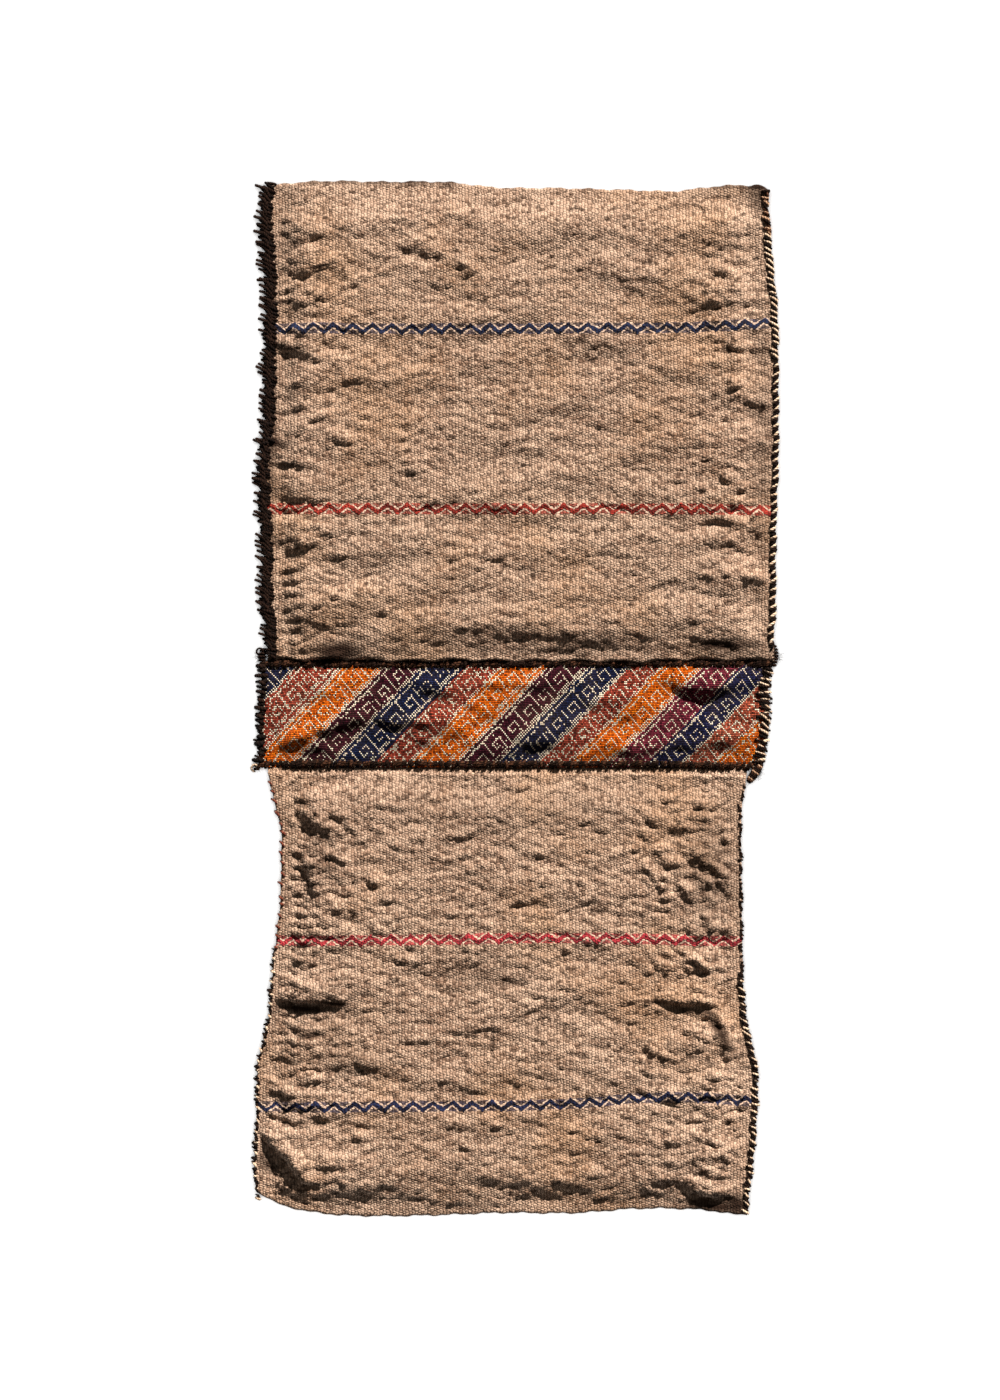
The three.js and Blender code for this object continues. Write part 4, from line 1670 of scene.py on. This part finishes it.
SEAMS = (
    SideSeam(
        "upper_left_stitches",
        "upper_left_side_seam",
        "dark_yarn",
        (
            Overcast(-1, 42, 490, 2.3, (Yarn.DARK, Yarn.BLACK), 8.0, 2.6, 1.5, 5, 0.5, seed=101),
            Overcast(-1, 52, 482, 4.6, (Yarn.DARK,), 5, 7.0, 1.7, 11.0, 0.3, seed=102),
        ),
        UPPER.left,
        UPPER.top,
    ),
    SideSeam(
        "upper_right_stitches",
        "upper_right_side_seam",
        "paired_yarn",
        (
            Overcast(1, 50, 320, 2.7, SPECKLED, 4.8, 0.8, 1.3, 5, 0.3, seed=103),
            Overcast(1, 323, 440, 2.9, (Yarn.BLACK, Yarn.CREAM), 6.0, 0.8, 1.3, -5, 0.3, seed=113),
            Overcast(1, 442, 482, 2.6, MIXED, 5, 0.3, 1.2, -4, 0.9, seed=104),
        ),
        UPPER.right,
        UPPER.top,
    ),
    SideSeam(
        "lower_left_stitches",
        "lower_left_side_seam",
        "dark_yarn",
        (
            Overcast(-1, -80, -235, 9.0, (Yarn.RUSSET,), 3, 1.5, 1.2, 3, seed=105),
            Overcast(-1, -240, -476, 3.6, SPECKLED, 2.2, 1.5, 1.1, 3, 0.7, seed=106),
        ),
        LOWER.left,
        LOWER.top,
    ),
    SideSeam(
        "lower_right_stitches",
        "lower_right_side_seam",
        "paired_yarn",
        (
            Overcast(1, -84, -262, 4.2, (Yarn.DARK,), 2.6, 0.6, 0.9, -3, 0.7, seed=107),
            Overcast(1, -264, -487, 2.4, SPECKLED, 5.0, 0.8, 1.15, -4, 0.5, seed=108),
        ),
        LOWER.right,
        LOWER.top,
    ),
    SideSeam(
        "bridge_left_stitches",
        "bridge_left_binding",
        "dark_yarn",
        (Overcast(-1, 30, -60, 3.8, (Yarn.DARK, Yarn.BLACK), 5, 2.6, 2.0, 2, 0.9, seed=109),),
        BRIDGE.left,
        BRIDGE.top,
    ),
    SideSeam(
        "bridge_right_stitches",
        "bridge_right_binding",
        "paired_yarn",
        (Overcast(1, 28, -60, 2.1, (Yarn.BLACK, Yarn.CREAM, Yarn.DARK), 8.5, 1.4, 1.2, -4, 0.8, seed=110),),
        BRIDGE.right,
        BRIDGE.top,
    ),
)
JOINS = (
    JoinSeam(
        "upper_join",
        "upper_join_seam",
        ((-240, 33.6), (-120, 32.9), (0, 33.3), (120, 33.7), (242, 33.4)),
        seed=51,
    ),
    JoinSeam(
        "lower_join",
        "lower_join_seam",
        ((-243, -62), (-120, -61.3), (0, -62), (120, -61.5), (225, -64)),
        seed=53,
    ),
)
KNOTS = (
    CornerKnot(
        "upper_left_knot", "upper_left_corner_wrap", (-241.5, 40, 4.5), (0, 1), 12, 5, 3.4,
        (Yarn.DARK,), 3.2, (-243.5, 45, 6.0), tuft=70, seed=61,
    ),
    CornerKnot(
        "upper_right_knot", "upper_right_corner_wrap", (245.5, 41, 4.5), (0, 1), 18, 7, 3.6,
        (Yarn.DARK,), tuft=110, seed=62,
    ),
    CornerKnot(
        "lower_left_knot", "lower_left_corner_wrap", (-247.2, -63, 3.8), (0, 1), 7, 3, 2.6,
        (Yarn.BLACK, Yarn.CREAM), 2.8, (-249.0, -66, 4.5), tuft=20, seed=63,
    ),
    CornerKnot(
        "lower_right_knot", "lower_right_corner_wrap", (227.5, -70.5, 4.5), (-0.57, -0.82), 20, 12, 3.4,
        (Yarn.DARK, Yarn.WHEAT, Yarn.UMBER, Yarn.BLACK), tuft=90, seed=64,
    ),
)


def main() -> None:
    """Builds the studio and the bag, piece by piece."""
    logging.basicConfig(level=logging.INFO, format="%(name)s: %(message)s")
    Studio().build()
    wardrobe = Wardrobe()
    for part in (UPPER, LOWER, BRIDGE, *SEAMS, *JOINS, *KNOTS):
        part.make(wardrobe)


if __name__ == "__main__":
    main()
